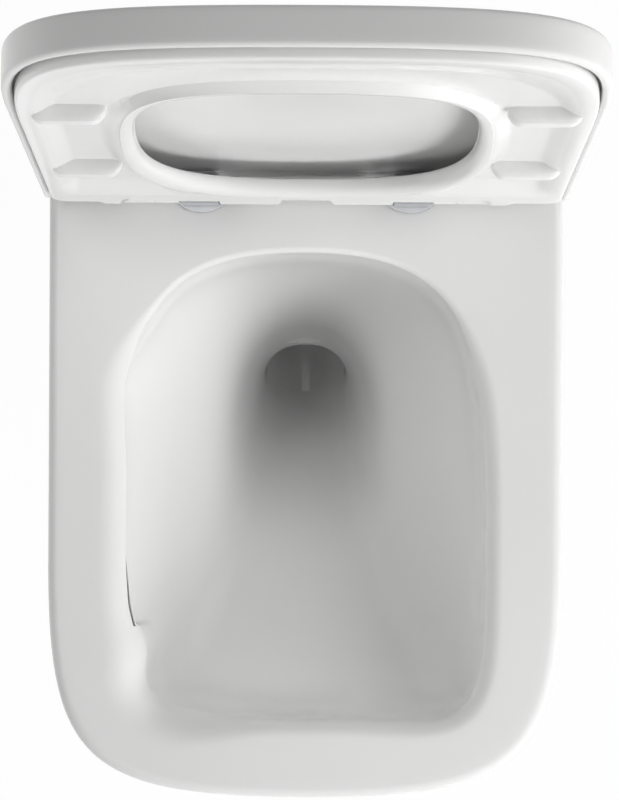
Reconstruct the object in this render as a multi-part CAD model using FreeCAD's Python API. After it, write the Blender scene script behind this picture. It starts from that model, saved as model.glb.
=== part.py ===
import FreeCAD, Part
import math
import os

# Wall hung toilet, in millimetres. The origin lies on the wall, midway between the two wall fixings.
# X points to the right of someone facing the toilet, Y into the wall and Z up.

# Pan, outside
PAN_WIDTH = 360.0
PAN_PROJECTION = 510.0
PAN_HEIGHT = 345.0
RIM_ABOVE_FIXINGS = 80.0
PAN_FRONT_DEPTH = 165.0
PAN_FRONT_POWER = 3.5
FOOT_SIDE_INSET = 65.0
FOOT_FRONT_INSET = 215.0
SIDE_CURVE_POWER = 4.0
FRONT_CURVE_POWER = 2.2
BODY_SHARES = (0.0, 0.12, 0.28, 0.45, 0.62, 0.78, 0.9, 1.0)
RIM_BAND = 24.0
RIM_EDGE_RADIUS = 7.0
FOOT_EDGE_RADIUS = 16.0
FOOT_EDGE_ANGLES = (30.0, 60.0, 90.0)
SHELL_WALL = 10.0
RIM_DECK = 16.0

# Bowl: share of the depth, then the share of its half width drawn in at the sides,
# and the shares of its length drawn in at the rear and at the front
RIM_SIDE_WIDTH = 51.0
RIM_FRONT_WIDTH = 48.0
REAR_DECK_LENGTH = 128.0
BOWL_DEPTH = 238.0
BOWL_PROFILE = (
    (0.0, 0.0, 0.0, 0.0),
    (0.118, 0.016, 0.006, 0.006),
    (0.252, 0.1, 0.021, 0.033),
    (0.37, 0.271, 0.048, 0.108),
    (0.454, 0.426, 0.078, 0.222),
    (0.538, 0.535, 0.105, 0.335),
    (0.651, 0.612, 0.135, 0.443),
    (0.777, 0.674, 0.165, 0.524),
    (0.891, 0.713, 0.189, 0.59),
    (0.966, 0.736, 0.204, 0.629),
    (1.0, 0.76, 0.214, 0.653),
)
BOWL_REAR_POWER = 2.8
BOWL_FRONT_POWER = 4.8
SUMP_SHARE = 0.454
SUMP_POWER = 2.0
SUMP_BLEND_POWER = 2.0
BOWL_REAR_SHARE = 0.56
BOWL_WALL = 11.0
BOWL_EDGE_RADIUS = 6.0

# Trap and waste outlet: points of the trap's middle line are given from the middle of the bowl's floor,
# towards the wall and up
OUTLET_BELOW_FIXINGS = 100.0
TRAP_BORE_RADIUS = 30.0
TRAP_WALL = 8.0
TRAP_BEND_RADIUS = 42.0
TRAP_EXIT_RADIUS = 60.0
TRAP_START = (-20.0, 53.0)
TRAP_DIP = (48.0, -24.0)
TRAP_WEIR = (98.0, 98.0)
TRAP_FALL_Y = -45.0
SPIGOT_RADIUS = 51.0
SPIGOT_BORE_RADIUS = 43.0
SPIGOT_LENGTH = 80.0
SPIGOT_BORE_LENGTH = 45.0
SPIGOT_SETBACK = 3.0
SPIGOT_FREE_LENGTH = 45.0
SPIGOT_COLLAR_RADIUS = 55.0
OUTLET_RIB = 10.0

# Flush inlet, its duct and the ledge that the duct opens under. The duct's bends are shares of the bowl's
# half width, to the left, and of the rear deck's length, away from the wall.
INLET_ABOVE_FIXINGS = 35.0
INLET_BORE_RADIUS = 27.5
INLET_WALL = 9.0
INLET_LENGTH = 48.0
DUCT_BORE_RADIUS = 13.0
DUCT_WALL = 7.0
DUCT_BELOW_RIM = 34.0
DUCT_BENDS = ((0.0, 0.156), (0.0, 0.391), (0.25, 0.76), (0.636, 0.961))
LEDGE_ANGLES = (43.0, 28.0, 12.0, 0.0)
LEDGE_OFFSET = 4.0
LEDGE_END_SHARE = 0.77
DUCT_TOLERANCE = 0.3

# Hinge line and open angle of seat and lid
HINGE_Y = -85.0
HINGE_ABOVE_RIM = 16.0
OPEN_ANGLE = 97.5
HINGE_HOLE_SPACING = 155.0
HINGE_HOLE_RADIUS = 7.0

# Lid
LID_SIDE_OVERHANG = 2.5
LID_FRONT_OVERHANG = 1.5
LID_REAR_BEHIND_HINGE = 9.0
LID_SKIRT_ABOVE_RIM = 9.5
LID_HEIGHT = 24.0
LID_PLATE = 4.5
LID_SKIRT = 4.5
LID_EDGE_RADIUS = 3.0
LID_CORNER_RADIUS = 6.0
LID_BUFFER_RADIUS = 8.0
LID_BUFFER_EDGE_RADIUS = 2.0
LID_BUFFER_X = 125.0
LID_BUFFER_FROM_HINGE = 345.0
LID_STEM_RADIUS = 3.0
LID_STEM_LENGTH = 2.5

# Seat ring
SEAT_IN_LID = 3.0
SEAT_ABOVE_RIM = 4.0
SEAT_THICKNESS = 13.0
SEAT_REAR_FROM_HINGE = 3.0
SEAT_POCKET_FROM_HINGE = 13.0
SEAT_POCKET_CLEARANCE = 1.5
SEAT_CORNER_RADIUS = 12.0
SEAT_TOP_RADIUS = 6.0
SEAT_FOOT_RADIUS = 2.0
SEAT_RING_SIDE = 67.0
SEAT_RING_FRONT = 91.0
SEAT_HOLE_REAR = 34.0
SEAT_HOLE_WIDEST = 177.0
SEAT_HOLE_REAR_POWER = 2.8
SEAT_HOLE_FRONT_POWER = 3.2
SEAT_HOLE_TOP_RADIUS = 5.0
SEAT_HOLE_FOOT_RADIUS = 7.0
SEAT_BAND = 7.0
SEAT_HOLE_BAND = 13.0
SEAT_RECESS_DEPTH = 6.0
SEAT_RECESS_REAR = 42.0
SEAT_NOTCH_MOUTH = 38.0
SEAT_NOTCH_WIDTH = 33.0
SEAT_NOTCH_DEPTH = 15.0
BUFFER_LENGTH = 45.0
BUFFER_WIDTH = 12.0
BUFFER_EDGE_RADIUS = 3.0
BUFFER_FROM_SEAT_EDGE = 8.0
BUFFER_PLACES = (0.2255, 0.5333)
BUFFER_STEM_RADIUS = 4.0
BUFFER_STEM_LENGTH = 5.0
BUFFER_CLEARANCE = 0.3

# Hinge ironmongery, from the middle of the toilet outwards
POST_START = 61.0
POST_WIDTH = 27.0
EAR_RADIUS = 10.0
SEAT_EAR_WIDTH = 15.5
LID_EAR_WIDTH = 20.0
EAR_GAP = 0.5
EAR_BORE_RADIUS = 7.0
EAR_WEB_FOOT = 6.0
EAR_WEB_TOP = 21.0
LID_WEB = 8.0
PIN_RADIUS = 4.0
PIN_CLEARANCE = 0.05
DAMPER_KEY_WIDTH = 3.0
DAMPER_KEY_HEIGHT = 1.2
CAP_FLANGE = 2.0
CAP_STEM = 6.0
POST_DEPTH = 20.0
POST_POCKET_CLEARANCE = 0.8
DISC_RADIUS = 25.0
DISC_X = 73.0
DISC_Y = -76.0
DISC_THICKNESS = 2.2
DISC_EDGE_RADIUS = 1.2
GASKET_THICKNESS = 0.8
GASKET_INSET = 2.0
SCREW_RADIUS = 3.0
SCREW_CLEARANCE = 0.1
SCREW_HEAD_RADIUS = 5.5
SCREW_HEAD_HEIGHT = 3.0
SLEEVE_LENGTH = 32.0
SLEEVE_CLEARANCE = 0.2
SLEEVE_NUT_LENGTH = 6.0

# Concealed side fixing
FIXING_SPACING = 180.0
STUD_HOLE_RADIUS = 6.5
BRACKET_PLATE = 6.0
BRACKET_ARM = 10.0
BRACKET_HEIGHT = 30.0
BRACKET_REACH = 58.0
BRACKET_INNER_EDGE = 16.0
SIDE_BOLT_Y = -42.0
SIDE_BOLT_RADIUS = 4.0
SIDE_BOLT_PAST_ARM = 4.0
SIDE_HOLE_RADIUS = 12.0
BUSH_CLEARANCE = 0.2
BUSH_FLANGE = 5.0
BUSH_FLANGE_RADIUS = 16.0
BUSH_SEAT = 3.0
BUSH_RECESS = 2.0
BOLT_HEAD_RADIUS = 6.5
BOLT_HEAD_LENGTH = 4.0
CLAMP_GAP = 0.5
COVER_RADIUS = 15.0
COVER_THICKNESS = 2.4
COVER_EDGE_RADIUS = 1.4
COVER_GAP = 0.4
WASHER_RADIUS = 14.0
WASHER_THICKNESS = 2.5
NUT_ACROSS_FLATS = 19.0
NUT_HEIGHT = 10.0
NUT_BORE_RADIUS = 6.2

OVERCUT = 5.0
MATCH = 0.01
EDGE_MARGIN = 1.0
RIM_Z = RIM_ABOVE_FIXINGS
HINGE_Z = RIM_Z + HINGE_ABOVE_RIM
INLET_Z = INLET_ABOVE_FIXINGS
OUTLET_Z = -OUTLET_BELOW_FIXINGS
DUCT_Z = RIM_Z - DUCT_BELOW_RIM
BOWL_HALF_WIDTH = PAN_WIDTH / 2 - RIM_SIDE_WIDTH
BOWL_REAR_Y = -REAR_DECK_LENGTH
BOWL_FRONT_Y = RIM_FRONT_WIDTH - PAN_PROJECTION
BOWL_LENGTH = BOWL_REAR_Y - BOWL_FRONT_Y
LID_HALF_WIDTH = PAN_WIDTH / 2 + LID_SIDE_OVERHANG
LID_FRONT_Y = -PAN_PROJECTION - LID_FRONT_OVERHANG
LID_FOOT_Z = RIM_Z + LID_SKIRT_ABOVE_RIM
LID_TOP_Z = LID_FOOT_Z + LID_HEIGHT
LID_CEILING_Z = LID_TOP_Z - LID_PLATE
SEAT_INSET = LID_SKIRT + SEAT_IN_LID
SEAT_FOOT_Z = RIM_Z + SEAT_ABOVE_RIM
SEAT_TOP_Z = SEAT_FOOT_Z + SEAT_THICKNESS
SEAT_RECESS_Z = SEAT_FOOT_Z + SEAT_RECESS_DEPTH
SEAT_HALF_WIDTH = LID_HALF_WIDTH - SEAT_INSET
SEAT_FRONT_Y = LID_FRONT_Y + SEAT_INSET
SEAT_HOLE_HALF_WIDTH = SEAT_HALF_WIDTH - SEAT_RING_SIDE
SEAT_HOLE_FRONT_Y = SEAT_FRONT_Y + SEAT_RING_FRONT
SEAT_HOLE_REAR_Y = HINGE_Y - SEAT_HOLE_REAR
BUFFER_FROM_HINGE = tuple(place * PAN_PROJECTION for place in BUFFER_PLACES)
POST_END = POST_START + POST_WIDTH
SEAT_EAR_START = POST_END + EAR_GAP
SEAT_EAR_END = SEAT_EAR_START + SEAT_EAR_WIDTH
LID_EAR_START = SEAT_EAR_END + EAR_GAP
LID_EAR_END = LID_EAR_START + LID_EAR_WIDTH
DISC_TOP_Z = RIM_Z + GASKET_THICKNESS + DISC_THICKNESS
SCREW_X = HINGE_HOLE_SPACING / 2


def vector(x, y, z):
    return FreeCAD.Vector(x, y, z)


def quarter_curve(start, corner, end, power):
    """Quarter of a superellipse of the given power, from start to end, bulging towards the corner."""
    reach = (8 * 0.5 ** (1 / power) - 4) / 3
    curve = Part.BezierCurve()
    curve.setPoles([start, start + (corner - start) * reach, end + (corner - end) * reach, end])
    return curve.toShape()


def plan_outline(half_width, rear_y, front_y, front_depth, power, z):
    """Straight back and sides with a rounded front, as pan, seat and lid have it in plan."""
    turn_y = front_y + front_depth
    rear_left = vector(-half_width, rear_y, z)
    rear_right = vector(half_width, rear_y, z)
    turn_left = vector(-half_width, turn_y, z)
    turn_right = vector(half_width, turn_y, z)
    front = vector(0, front_y, z)
    edges = [
        Part.makeLine(rear_left, rear_right),
        Part.makeLine(rear_right, turn_right),
        quarter_curve(turn_right, vector(half_width, front_y, z), front, power),
        quarter_curve(front, vector(-half_width, front_y, z), turn_left, power),
        Part.makeLine(turn_left, rear_left),
    ]
    return Part.Wire(edges)


def oval_outline(half_width, rear_y, front_y, widest_y, rear_power, front_power, z):
    """Closed oval with its own roundness at the rear and at the front."""
    right = vector(half_width, widest_y, z)
    left = vector(-half_width, widest_y, z)
    rear = vector(0, rear_y, z)
    front = vector(0, front_y, z)
    edges = [
        quarter_curve(right, vector(half_width, rear_y, z), rear, rear_power),
        quarter_curve(rear, vector(-half_width, rear_y, z), left, rear_power),
        quarter_curve(left, vector(-half_width, front_y, z), front, front_power),
        quarter_curve(front, vector(half_width, front_y, z), right, front_power),
    ]
    return Part.Wire(edges)


def prism(outline, height):
    return Part.Face(outline).extrude(vector(0, 0, height))


def box(x, y, z):
    """Box from pairs of lowest and highest x, y and z, in any order."""
    low = vector(min(x), min(y), min(z))
    return Part.makeBox(max(x) - low.x, max(y) - low.y, max(z) - low.z, low)


def rod_x(radius, x_start, x_end, y, z):
    """Round bar along X between two places given in either order."""
    start = min(x_start, x_end)
    return Part.makeCylinder(radius, abs(x_end - x_start), vector(start, y, z), vector(1, 0, 0))


def rod_y(radius, y_start, y_end, x, z):
    return Part.makeCylinder(radius, y_end - y_start, vector(x, y_start, z), vector(0, 1, 0))


def rod_z(radius, z_start, z_end, x, y):
    return Part.makeCylinder(radius, z_end - z_start, vector(x, y, z_start), vector(0, 0, 1))


def edges_at_height(shape, z):
    """Edges that lie flat at height z."""
    found = []
    for edge in shape.Edges:
        bounds = edge.BoundBox
        if abs(bounds.ZMin - z) < MATCH and abs(bounds.ZMax - z) < MATCH:
            found.append(edge)
    return found


def edges_within(shape, z, half_width, front_y, rear_y):
    """Edges that lie flat at height z and stay inside a window in plan."""
    found = []
    for edge in edges_at_height(shape, z):
        bounds = edge.BoundBox
        wide = max(abs(bounds.XMin), abs(bounds.XMax)) > half_width + EDGE_MARGIN
        long = bounds.YMin < front_y - EDGE_MARGIN or bounds.YMax > rear_y + EDGE_MARGIN
        if not wide and not long:
            found.append(edge)
    return found


def upright_edges(shape, y):
    """Upright edges that stand at depth y."""
    found = []
    for edge in shape.Edges:
        bounds = edge.BoundBox
        at_depth = abs(bounds.YMin - y) < MATCH and abs(bounds.YMax - y) < MATCH
        if at_depth and bounds.XLength < MATCH and bounds.ZLength > EDGE_MARGIN:
            found.append(edge)
    return found


def rounded_path(points, radii):
    """Straight runs through the points, joined by tangent arcs of the given radii."""
    edges = []
    start = points[0]
    for index in range(1, len(points) - 1):
        corner = points[index]
        back = (points[index - 1] - corner).normalize()
        ahead = (points[index + 1] - corner).normalize()
        half_angle = back.getAngle(ahead) / 2
        radius = radii[index - 1]
        reach = radius / math.tan(half_angle)
        arc_start = corner + back * reach
        arc_end = corner + ahead * reach
        middle_way = (back + ahead).normalize()
        arc_middle = corner + middle_way * (radius / math.sin(half_angle) - radius)
        edges.append(Part.makeLine(start, arc_start))
        edges.append(Part.Arc(arc_start, arc_middle, arc_end).toShape())
        start = arc_end
    edges.append(Part.makeLine(start, points[-1]))
    return Part.Wire(edges)


def pipe(path, radius):
    """Round tube core of the given radius along a path."""
    first = path.OrderedEdges[0]
    start = first.valueAt(first.FirstParameter)
    heading = first.tangentAt(first.FirstParameter)
    profile = Part.Wire([Part.makeCircle(radius, start, heading)])
    return path.makePipeShell([profile], True, False)


def body_section(depth, inset, rear_y):
    """Plan outline of the pan's body at a depth below the rim, drawn in by an inset."""
    share = max(depth - RIM_BAND, 0.0) / (PAN_HEIGHT - RIM_BAND)
    half_width = PAN_WIDTH / 2 - FOOT_SIDE_INSET * share ** SIDE_CURVE_POWER - inset
    front_y = FOOT_FRONT_INSET * share ** FRONT_CURVE_POWER - PAN_PROJECTION + inset
    return plan_outline(half_width, rear_y, front_y, PAN_FRONT_DEPTH, PAN_FRONT_POWER, RIM_Z - depth)


def pan_body():
    """Outside of the pan as one full block: an upright rim band over a body that draws in to the foot."""
    band = prism(body_section(0.0, 0.0, 0.0), -RIM_BAND)
    rim_edges = []
    for edge in edges_at_height(band, RIM_Z):
        if edge.BoundBox.YMin < -EDGE_MARGIN:
            rim_edges.append(edge)
    band = band.makeFillet(RIM_EDGE_RADIUS, rim_edges)
    sections = []
    for share in BODY_SHARES:
        depth = RIM_BAND + share * (PAN_HEIGHT - FOOT_EDGE_RADIUS - RIM_BAND)
        sections.append(body_section(depth, 0.0, 0.0))
    for degrees in FOOT_EDGE_ANGLES:
        angle = math.radians(degrees)
        depth = PAN_HEIGHT - FOOT_EDGE_RADIUS * (1 - math.sin(angle))
        sections.append(body_section(depth, FOOT_EDGE_RADIUS * (1 - math.cos(angle)), 0.0))
    return band.fuse(Part.makeLoft(sections, True, False))


def pan_cavity():
    """Hollow between the outer shell and the bowl, open at the wall."""
    last_depth = PAN_HEIGHT - SHELL_WALL
    sections = []
    for share in BODY_SHARES:
        depth = RIM_DECK + share * (last_depth - RIM_DECK)
        sections.append(body_section(depth, SHELL_WALL, OVERCUT))
    return Part.makeLoft(sections, True, False)


def bowl_section(row, wall, lowered):
    """Outline of the bowl for a row of its profile, grown by a wall and set lower by a distance."""
    share, side_share, rear_share, front_share = row
    half_width = BOWL_HALF_WIDTH * (1 - side_share) + wall
    rear_y = BOWL_REAR_Y - BOWL_LENGTH * rear_share + wall
    front_y = BOWL_FRONT_Y + BOWL_LENGTH * front_share - wall
    widest_y = rear_y + (front_y - rear_y) * BOWL_REAR_SHARE
    blend = share ** SUMP_BLEND_POWER
    rear_power = BOWL_REAR_POWER + (SUMP_POWER - BOWL_REAR_POWER) * share
    front_power = BOWL_FRONT_POWER + (SUMP_POWER - BOWL_FRONT_POWER) * blend
    z = RIM_Z - BOWL_DEPTH * share - lowered
    return oval_outline(half_width, rear_y, front_y, widest_y, rear_power, front_power, z)


def bowl_space():
    """Inside of the bowl, from just above the rim down to its floor."""
    sections = [bowl_section(BOWL_PROFILE[0], 0.0, -OVERCUT)]
    for row in BOWL_PROFILE:
        sections.append(bowl_section(row, 0.0, 0.0))
    return Part.makeLoft(sections, True, False)


def bowl_block():
    """Bowl with its wall, as a full block below the rim."""
    sections = [bowl_section(BOWL_PROFILE[0], BOWL_WALL, RIM_DECK / 2)]
    for row in BOWL_PROFILE[1:-1]:
        sections.append(bowl_section(row, BOWL_WALL, 0.0))
    sections.append(bowl_section(BOWL_PROFILE[-1], BOWL_WALL, BOWL_WALL))
    return Part.makeLoft(sections, True, False)


def trap_path():
    """Middle line of the trap: down from the bowl, up over the weir and back to the outlet."""
    floor_row = BOWL_PROFILE[-1]
    floor_y = BOWL_REAR_Y - BOWL_LENGTH * (1 + floor_row[2] - floor_row[3]) / 2
    floor_z = RIM_Z - BOWL_DEPTH
    points = []
    for back, up in (TRAP_START, TRAP_DIP, TRAP_WEIR):
        points.append(vector(0, floor_y + back, floor_z + up))
    points.append(vector(0, TRAP_FALL_Y, OUTLET_Z))
    points.append(vector(0, -SPIGOT_SETBACK, OUTLET_Z))
    return rounded_path(points, (TRAP_BEND_RADIUS, TRAP_BEND_RADIUS, TRAP_EXIT_RADIUS))


def duct_path():
    """Middle line of the flush duct, from the inlet round to the left wall of the bowl."""
    widest_y = BOWL_REAR_Y - BOWL_LENGTH * BOWL_REAR_SHARE
    stretch = 1.0 + LEDGE_OFFSET / BOWL_HALF_WIDTH
    points = [vector(-BOWL_HALF_WIDTH * left, BOWL_REAR_Y * away, DUCT_Z) for left, away in DUCT_BENDS]
    for degrees in LEDGE_ANGLES:
        angle = math.radians(degrees)
        x = -BOWL_HALF_WIDTH * math.cos(angle) ** (2.0 / BOWL_REAR_POWER)
        y = (BOWL_REAR_Y - widest_y) * math.sin(angle) ** (2.0 / BOWL_REAR_POWER)
        points.append(vector(x * stretch, widest_y + y * stretch, DUCT_Z))
    ledge_end_y = BOWL_REAR_Y - BOWL_LENGTH * LEDGE_END_SHARE
    points.append(vector(-BOWL_HALF_WIDTH * stretch, ledge_end_y, DUCT_Z))
    curve = Part.BSplineCurve()
    curve.interpolate(Points=points)
    arcs = [piece.toShape() for piece in curve.toBiArcs(DUCT_TOLERANCE)]
    return Part.Wire(arcs), points[-1]


def side_wall_x(inset):
    """Where the pan's side wall stands at the height of the fixings, drawn in by an inset."""
    share = (RIM_ABOVE_FIXINGS - RIM_BAND) / (PAN_HEIGHT - RIM_BAND)
    return PAN_WIDTH / 2 - FOOT_SIDE_INSET * share ** SIDE_CURVE_POWER - inset


def pan_bores():
    """Everything that is hollow in the ceramic: bowl, trap, outlet, flush duct and the fixing holes."""
    duct, duct_end = duct_path()
    bores = [
        bowl_space(),
        pipe(trap_path(), TRAP_BORE_RADIUS),
        rod_y(SPIGOT_BORE_RADIUS, -SPIGOT_BORE_LENGTH, OVERCUT, 0, OUTLET_Z),
        pipe(duct, DUCT_BORE_RADIUS).fuse(Part.makeSphere(DUCT_BORE_RADIUS, duct_end)),
        rod_y(INLET_BORE_RADIUS, -INLET_LENGTH, OVERCUT, 0, INLET_Z),
    ]
    for side in (-1, 1):
        hinge_hole = rod_z(HINGE_HOLE_RADIUS, RIM_Z - RIM_DECK - OVERCUT, RIM_Z + OVERCUT,
                           side * SCREW_X, HINGE_Y)
        side_hole = rod_x(SIDE_HOLE_RADIUS, side * side_wall_x(SHELL_WALL + OVERCUT),
                          side * side_wall_x(-OVERCUT), SIDE_BOLT_Y, 0)
        bores.append(hinge_hole)
        bores.append(side_hole)
    return bores


def trap_block():
    """Trap with its outlet spigot, the collar that stops the connector and the rib below, not yet bored."""
    front_y = -SPIGOT_LENGTH
    collar_end = -SPIGOT_SETBACK - SPIGOT_FREE_LENGTH
    foot_z = RIM_Z - PAN_HEIGHT + SHELL_WALL / 2
    blocks = [
        rod_y(SPIGOT_RADIUS, front_y, -SPIGOT_SETBACK, 0, OUTLET_Z),
        rod_y(SPIGOT_COLLAR_RADIUS, front_y, collar_end, 0, OUTLET_Z),
        box((-OUTLET_RIB / 2, OUTLET_RIB / 2), (front_y, collar_end), (foot_z, OUTLET_Z)),
    ]
    return pipe(trap_path(), TRAP_BORE_RADIUS + TRAP_WALL).fuse(blocks)


def duct_block():
    """Flush inlet boss and the duct from it to the end of the ledge, before they are bored."""
    duct, duct_end = duct_path()
    blocks = [
        Part.makeSphere(DUCT_BORE_RADIUS + DUCT_WALL, duct_end),
        rod_y(INLET_BORE_RADIUS + INLET_WALL, -INLET_LENGTH - INLET_WALL, 0, 0, INLET_Z),
    ]
    return pipe(duct, DUCT_BORE_RADIUS + DUCT_WALL).fuse(blocks)


def parted(shape, y, z):
    """A piece in two halves: behind depth y and above height z, and the rest."""
    size = 2 * PAN_PROJECTION
    cutter = Part.makeBox(size, size, size, vector(-PAN_PROJECTION, y, z))
    return shape.common(cutter), shape.cut(cutter)


def make_ceramic():
    """The casting in lengths that meet face to face: shell with rim, bowl, sump, trap, inlet and duct."""
    body = pan_body()
    shell = body.cut(pan_cavity())
    lengths = {"pan": shell}
    taken = [shell]
    for name, block in (("bowl", bowl_block()), ("trap", trap_block()), ("flush_duct", duct_block())):
        length = block.common(body)
        for neighbour in taken:
            length = length.cut(neighbour)
        lengths[name] = length
        taken.append(block)
    for name in lengths:
        for bore in pan_bores():
            lengths[name] = lengths[name].cut(bore)
    opening_edges = edges_within(lengths["pan"], RIM_Z, BOWL_HALF_WIDTH, BOWL_FRONT_Y, BOWL_REAR_Y)
    lengths["pan"] = lengths["pan"].makeFillet(BOWL_EDGE_RADIUS, opening_edges)
    sump_z = RIM_Z - BOWL_DEPTH * SUMP_SHARE
    lengths["bowl"], lengths["sump"] = parted(lengths["bowl"], -PAN_PROJECTION, sump_z)
    duct_halves = parted(lengths["flush_duct"], BOWL_REAR_Y, -PAN_PROJECTION)
    lengths["inlet_boss"], lengths["flush_duct"] = duct_halves
    return lengths


def swung_open(shape):
    """A piece drawn in the closed position, swung about the hinge line to its open stop."""
    turned = shape.copy()
    turned.rotate(vector(0, HINGE_Y, HINGE_Z), vector(1, 0, 0), -OPEN_ANGLE)
    return turned


def damper_key(x_start, x_end):
    """Key on top of a damper, and the keyway it slides into."""
    reach = EAR_BORE_RADIUS + DAMPER_KEY_HEIGHT
    return box((x_start, x_end), (HINGE_Y - DAMPER_KEY_WIDTH / 2, HINGE_Y + DAMPER_KEY_WIDTH / 2),
               (HINGE_Z, HINGE_Z + reach))


def make_lid():
    """Flat lid with a skirt round its sides and front, and an ear at each hinge."""
    rear_y = HINGE_Y + LID_REAR_BEHIND_HINGE
    outline = plan_outline(LID_HALF_WIDTH, rear_y, LID_FRONT_Y, PAN_FRONT_DEPTH, PAN_FRONT_POWER, LID_FOOT_Z)
    lid = prism(outline, LID_HEIGHT)
    lid = lid.makeFillet(LID_CORNER_RADIUS, upright_edges(lid, rear_y))
    lid = lid.makeFillet(LID_EDGE_RADIUS, edges_at_height(lid, LID_TOP_Z))
    pocket = plan_outline(LID_HALF_WIDTH - LID_SKIRT, rear_y + OVERCUT, LID_FRONT_Y + LID_SKIRT,
                          PAN_FRONT_DEPTH, PAN_FRONT_POWER, LID_FOOT_Z - OVERCUT)
    lid = lid.cut(prism(pocket, LID_CEILING_Z - LID_FOOT_Z + OVERCUT))
    for side in (-1, 1):
        start = side * LID_EAR_START
        end = side * LID_EAR_END
        web = box((start, end), (HINGE_Y - LID_WEB, HINGE_Y + LID_WEB),
                  (HINGE_Z, LID_TOP_Z - LID_EDGE_RADIUS))
        lid = lid.fuse([rod_x(EAR_RADIUS, start, end, HINGE_Y, HINGE_Z), web])
        lid = lid.cut(rod_x(EAR_BORE_RADIUS, start, end, HINGE_Y, HINGE_Z))
        lid = lid.cut(rod_z(LID_STEM_RADIUS, LID_CEILING_Z, LID_CEILING_Z + LID_STEM_LENGTH,
                            side * LID_BUFFER_X, HINGE_Y - LID_BUFFER_FROM_HINGE))
    lid = lid.cut(damper_key(-LID_EAR_START, -LID_EAR_END))
    return lid.removeSplitter()


def seat_hole(grow, z):
    """Outline of the hole in the seat, grown outwards by a band."""
    return oval_outline(SEAT_HOLE_HALF_WIDTH + grow, SEAT_HOLE_REAR_Y + grow, SEAT_HOLE_FRONT_Y - grow,
                        HINGE_Y - SEAT_HOLE_WIDEST, SEAT_HOLE_REAR_POWER, SEAT_HOLE_FRONT_POWER, z)


def seat_outline(inset, rear_y, z):
    return plan_outline(SEAT_HALF_WIDTH - inset, rear_y, SEAT_FRONT_Y + inset,
                        PAN_FRONT_DEPTH, PAN_FRONT_POWER, z)


def seat_notch():
    """Trapezium cut into the middle of the seat's rear edge."""
    rear_y = HINGE_Y - SEAT_REAR_FROM_HINGE
    corners = ((SEAT_NOTCH_MOUTH, rear_y), (SEAT_NOTCH_WIDTH, rear_y - SEAT_NOTCH_DEPTH))
    low_z = SEAT_FOOT_Z - OVERCUT
    points = [vector(width / 2, y, low_z) for width, y in corners]
    points += [vector(-width / 2, y, low_z) for width, y in reversed(corners)]
    outline = Part.makePolygon(points + points[:1])
    return prism(outline, SEAT_THICKNESS + 2 * OVERCUT)


def make_seat():
    """Seat ring with rounded edges, a sunken underside, and pockets and an ear at each hinge."""
    rear_y = HINGE_Y - SEAT_REAR_FROM_HINGE
    seat = prism(seat_outline(0.0, rear_y, SEAT_FOOT_Z), SEAT_THICKNESS)
    seat = seat.makeFillet(SEAT_CORNER_RADIUS, upright_edges(seat, rear_y))
    seat = seat.makeFillet(SEAT_TOP_RADIUS, edges_at_height(seat, SEAT_TOP_Z))
    seat = seat.makeFillet(SEAT_FOOT_RADIUS, edges_at_height(seat, SEAT_FOOT_Z))
    seat = seat.cut(prism(seat_hole(0.0, SEAT_FOOT_Z - OVERCUT), SEAT_THICKNESS + 2 * OVERCUT))
    for z, radius in ((SEAT_TOP_Z, SEAT_HOLE_TOP_RADIUS), (SEAT_FOOT_Z, SEAT_HOLE_FOOT_RADIUS)):
        hole_edges = edges_within(seat, z, SEAT_HOLE_HALF_WIDTH, SEAT_HOLE_FRONT_Y, SEAT_HOLE_REAR_Y)
        seat = seat.makeFillet(radius, hole_edges)
    recess_z = SEAT_FOOT_Z - OVERCUT
    recess_height = SEAT_RECESS_Z - recess_z
    recess = prism(seat_outline(SEAT_BAND, HINGE_Y - SEAT_RECESS_REAR, recess_z), recess_height)
    recess = recess.cut(prism(seat_hole(SEAT_HOLE_BAND, recess_z), recess_height))
    seat = seat.cut(recess)
    seat = seat.cut(seat_notch())
    pocket_y = HINGE_Y - SEAT_POCKET_FROM_HINGE
    for side in (-1, 1):
        start = side * SEAT_EAR_START
        end = side * SEAT_EAR_END
        pocket = box((side * (POST_START - SEAT_POCKET_CLEARANCE),
                      side * (LID_EAR_END + CAP_FLANGE + SEAT_POCKET_CLEARANCE)),
                     (pocket_y, HINGE_Y), (SEAT_FOOT_Z - OVERCUT, SEAT_TOP_Z + OVERCUT))
        seat = seat.cut(pocket)
        web = box((start, end), (pocket_y - SEAT_TOP_RADIUS, HINGE_Y),
                  (RIM_Z + EAR_WEB_FOOT, RIM_Z + EAR_WEB_TOP))
        seat = seat.fuse([rod_x(EAR_RADIUS, start, end, HINGE_Y, HINGE_Z), web])
        seat = seat.cut(rod_x(EAR_BORE_RADIUS, start, end, HINGE_Y, HINGE_Z))
        for from_hinge in BUFFER_FROM_HINGE:
            seat = seat.cut(rod_z(BUFFER_STEM_RADIUS, SEAT_RECESS_Z, SEAT_RECESS_Z + BUFFER_STEM_LENGTH,
                                  side * buffer_x(), HINGE_Y - from_hinge))
    seat = seat.cut(damper_key(SEAT_EAR_START, SEAT_EAR_END))
    return seat.removeSplitter()


def buffer_x():
    """Middle of a buffer, out from the middle of the seat."""
    return SEAT_HALF_WIDTH - BUFFER_FROM_SEAT_EDGE - BUFFER_LENGTH / 2


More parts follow.
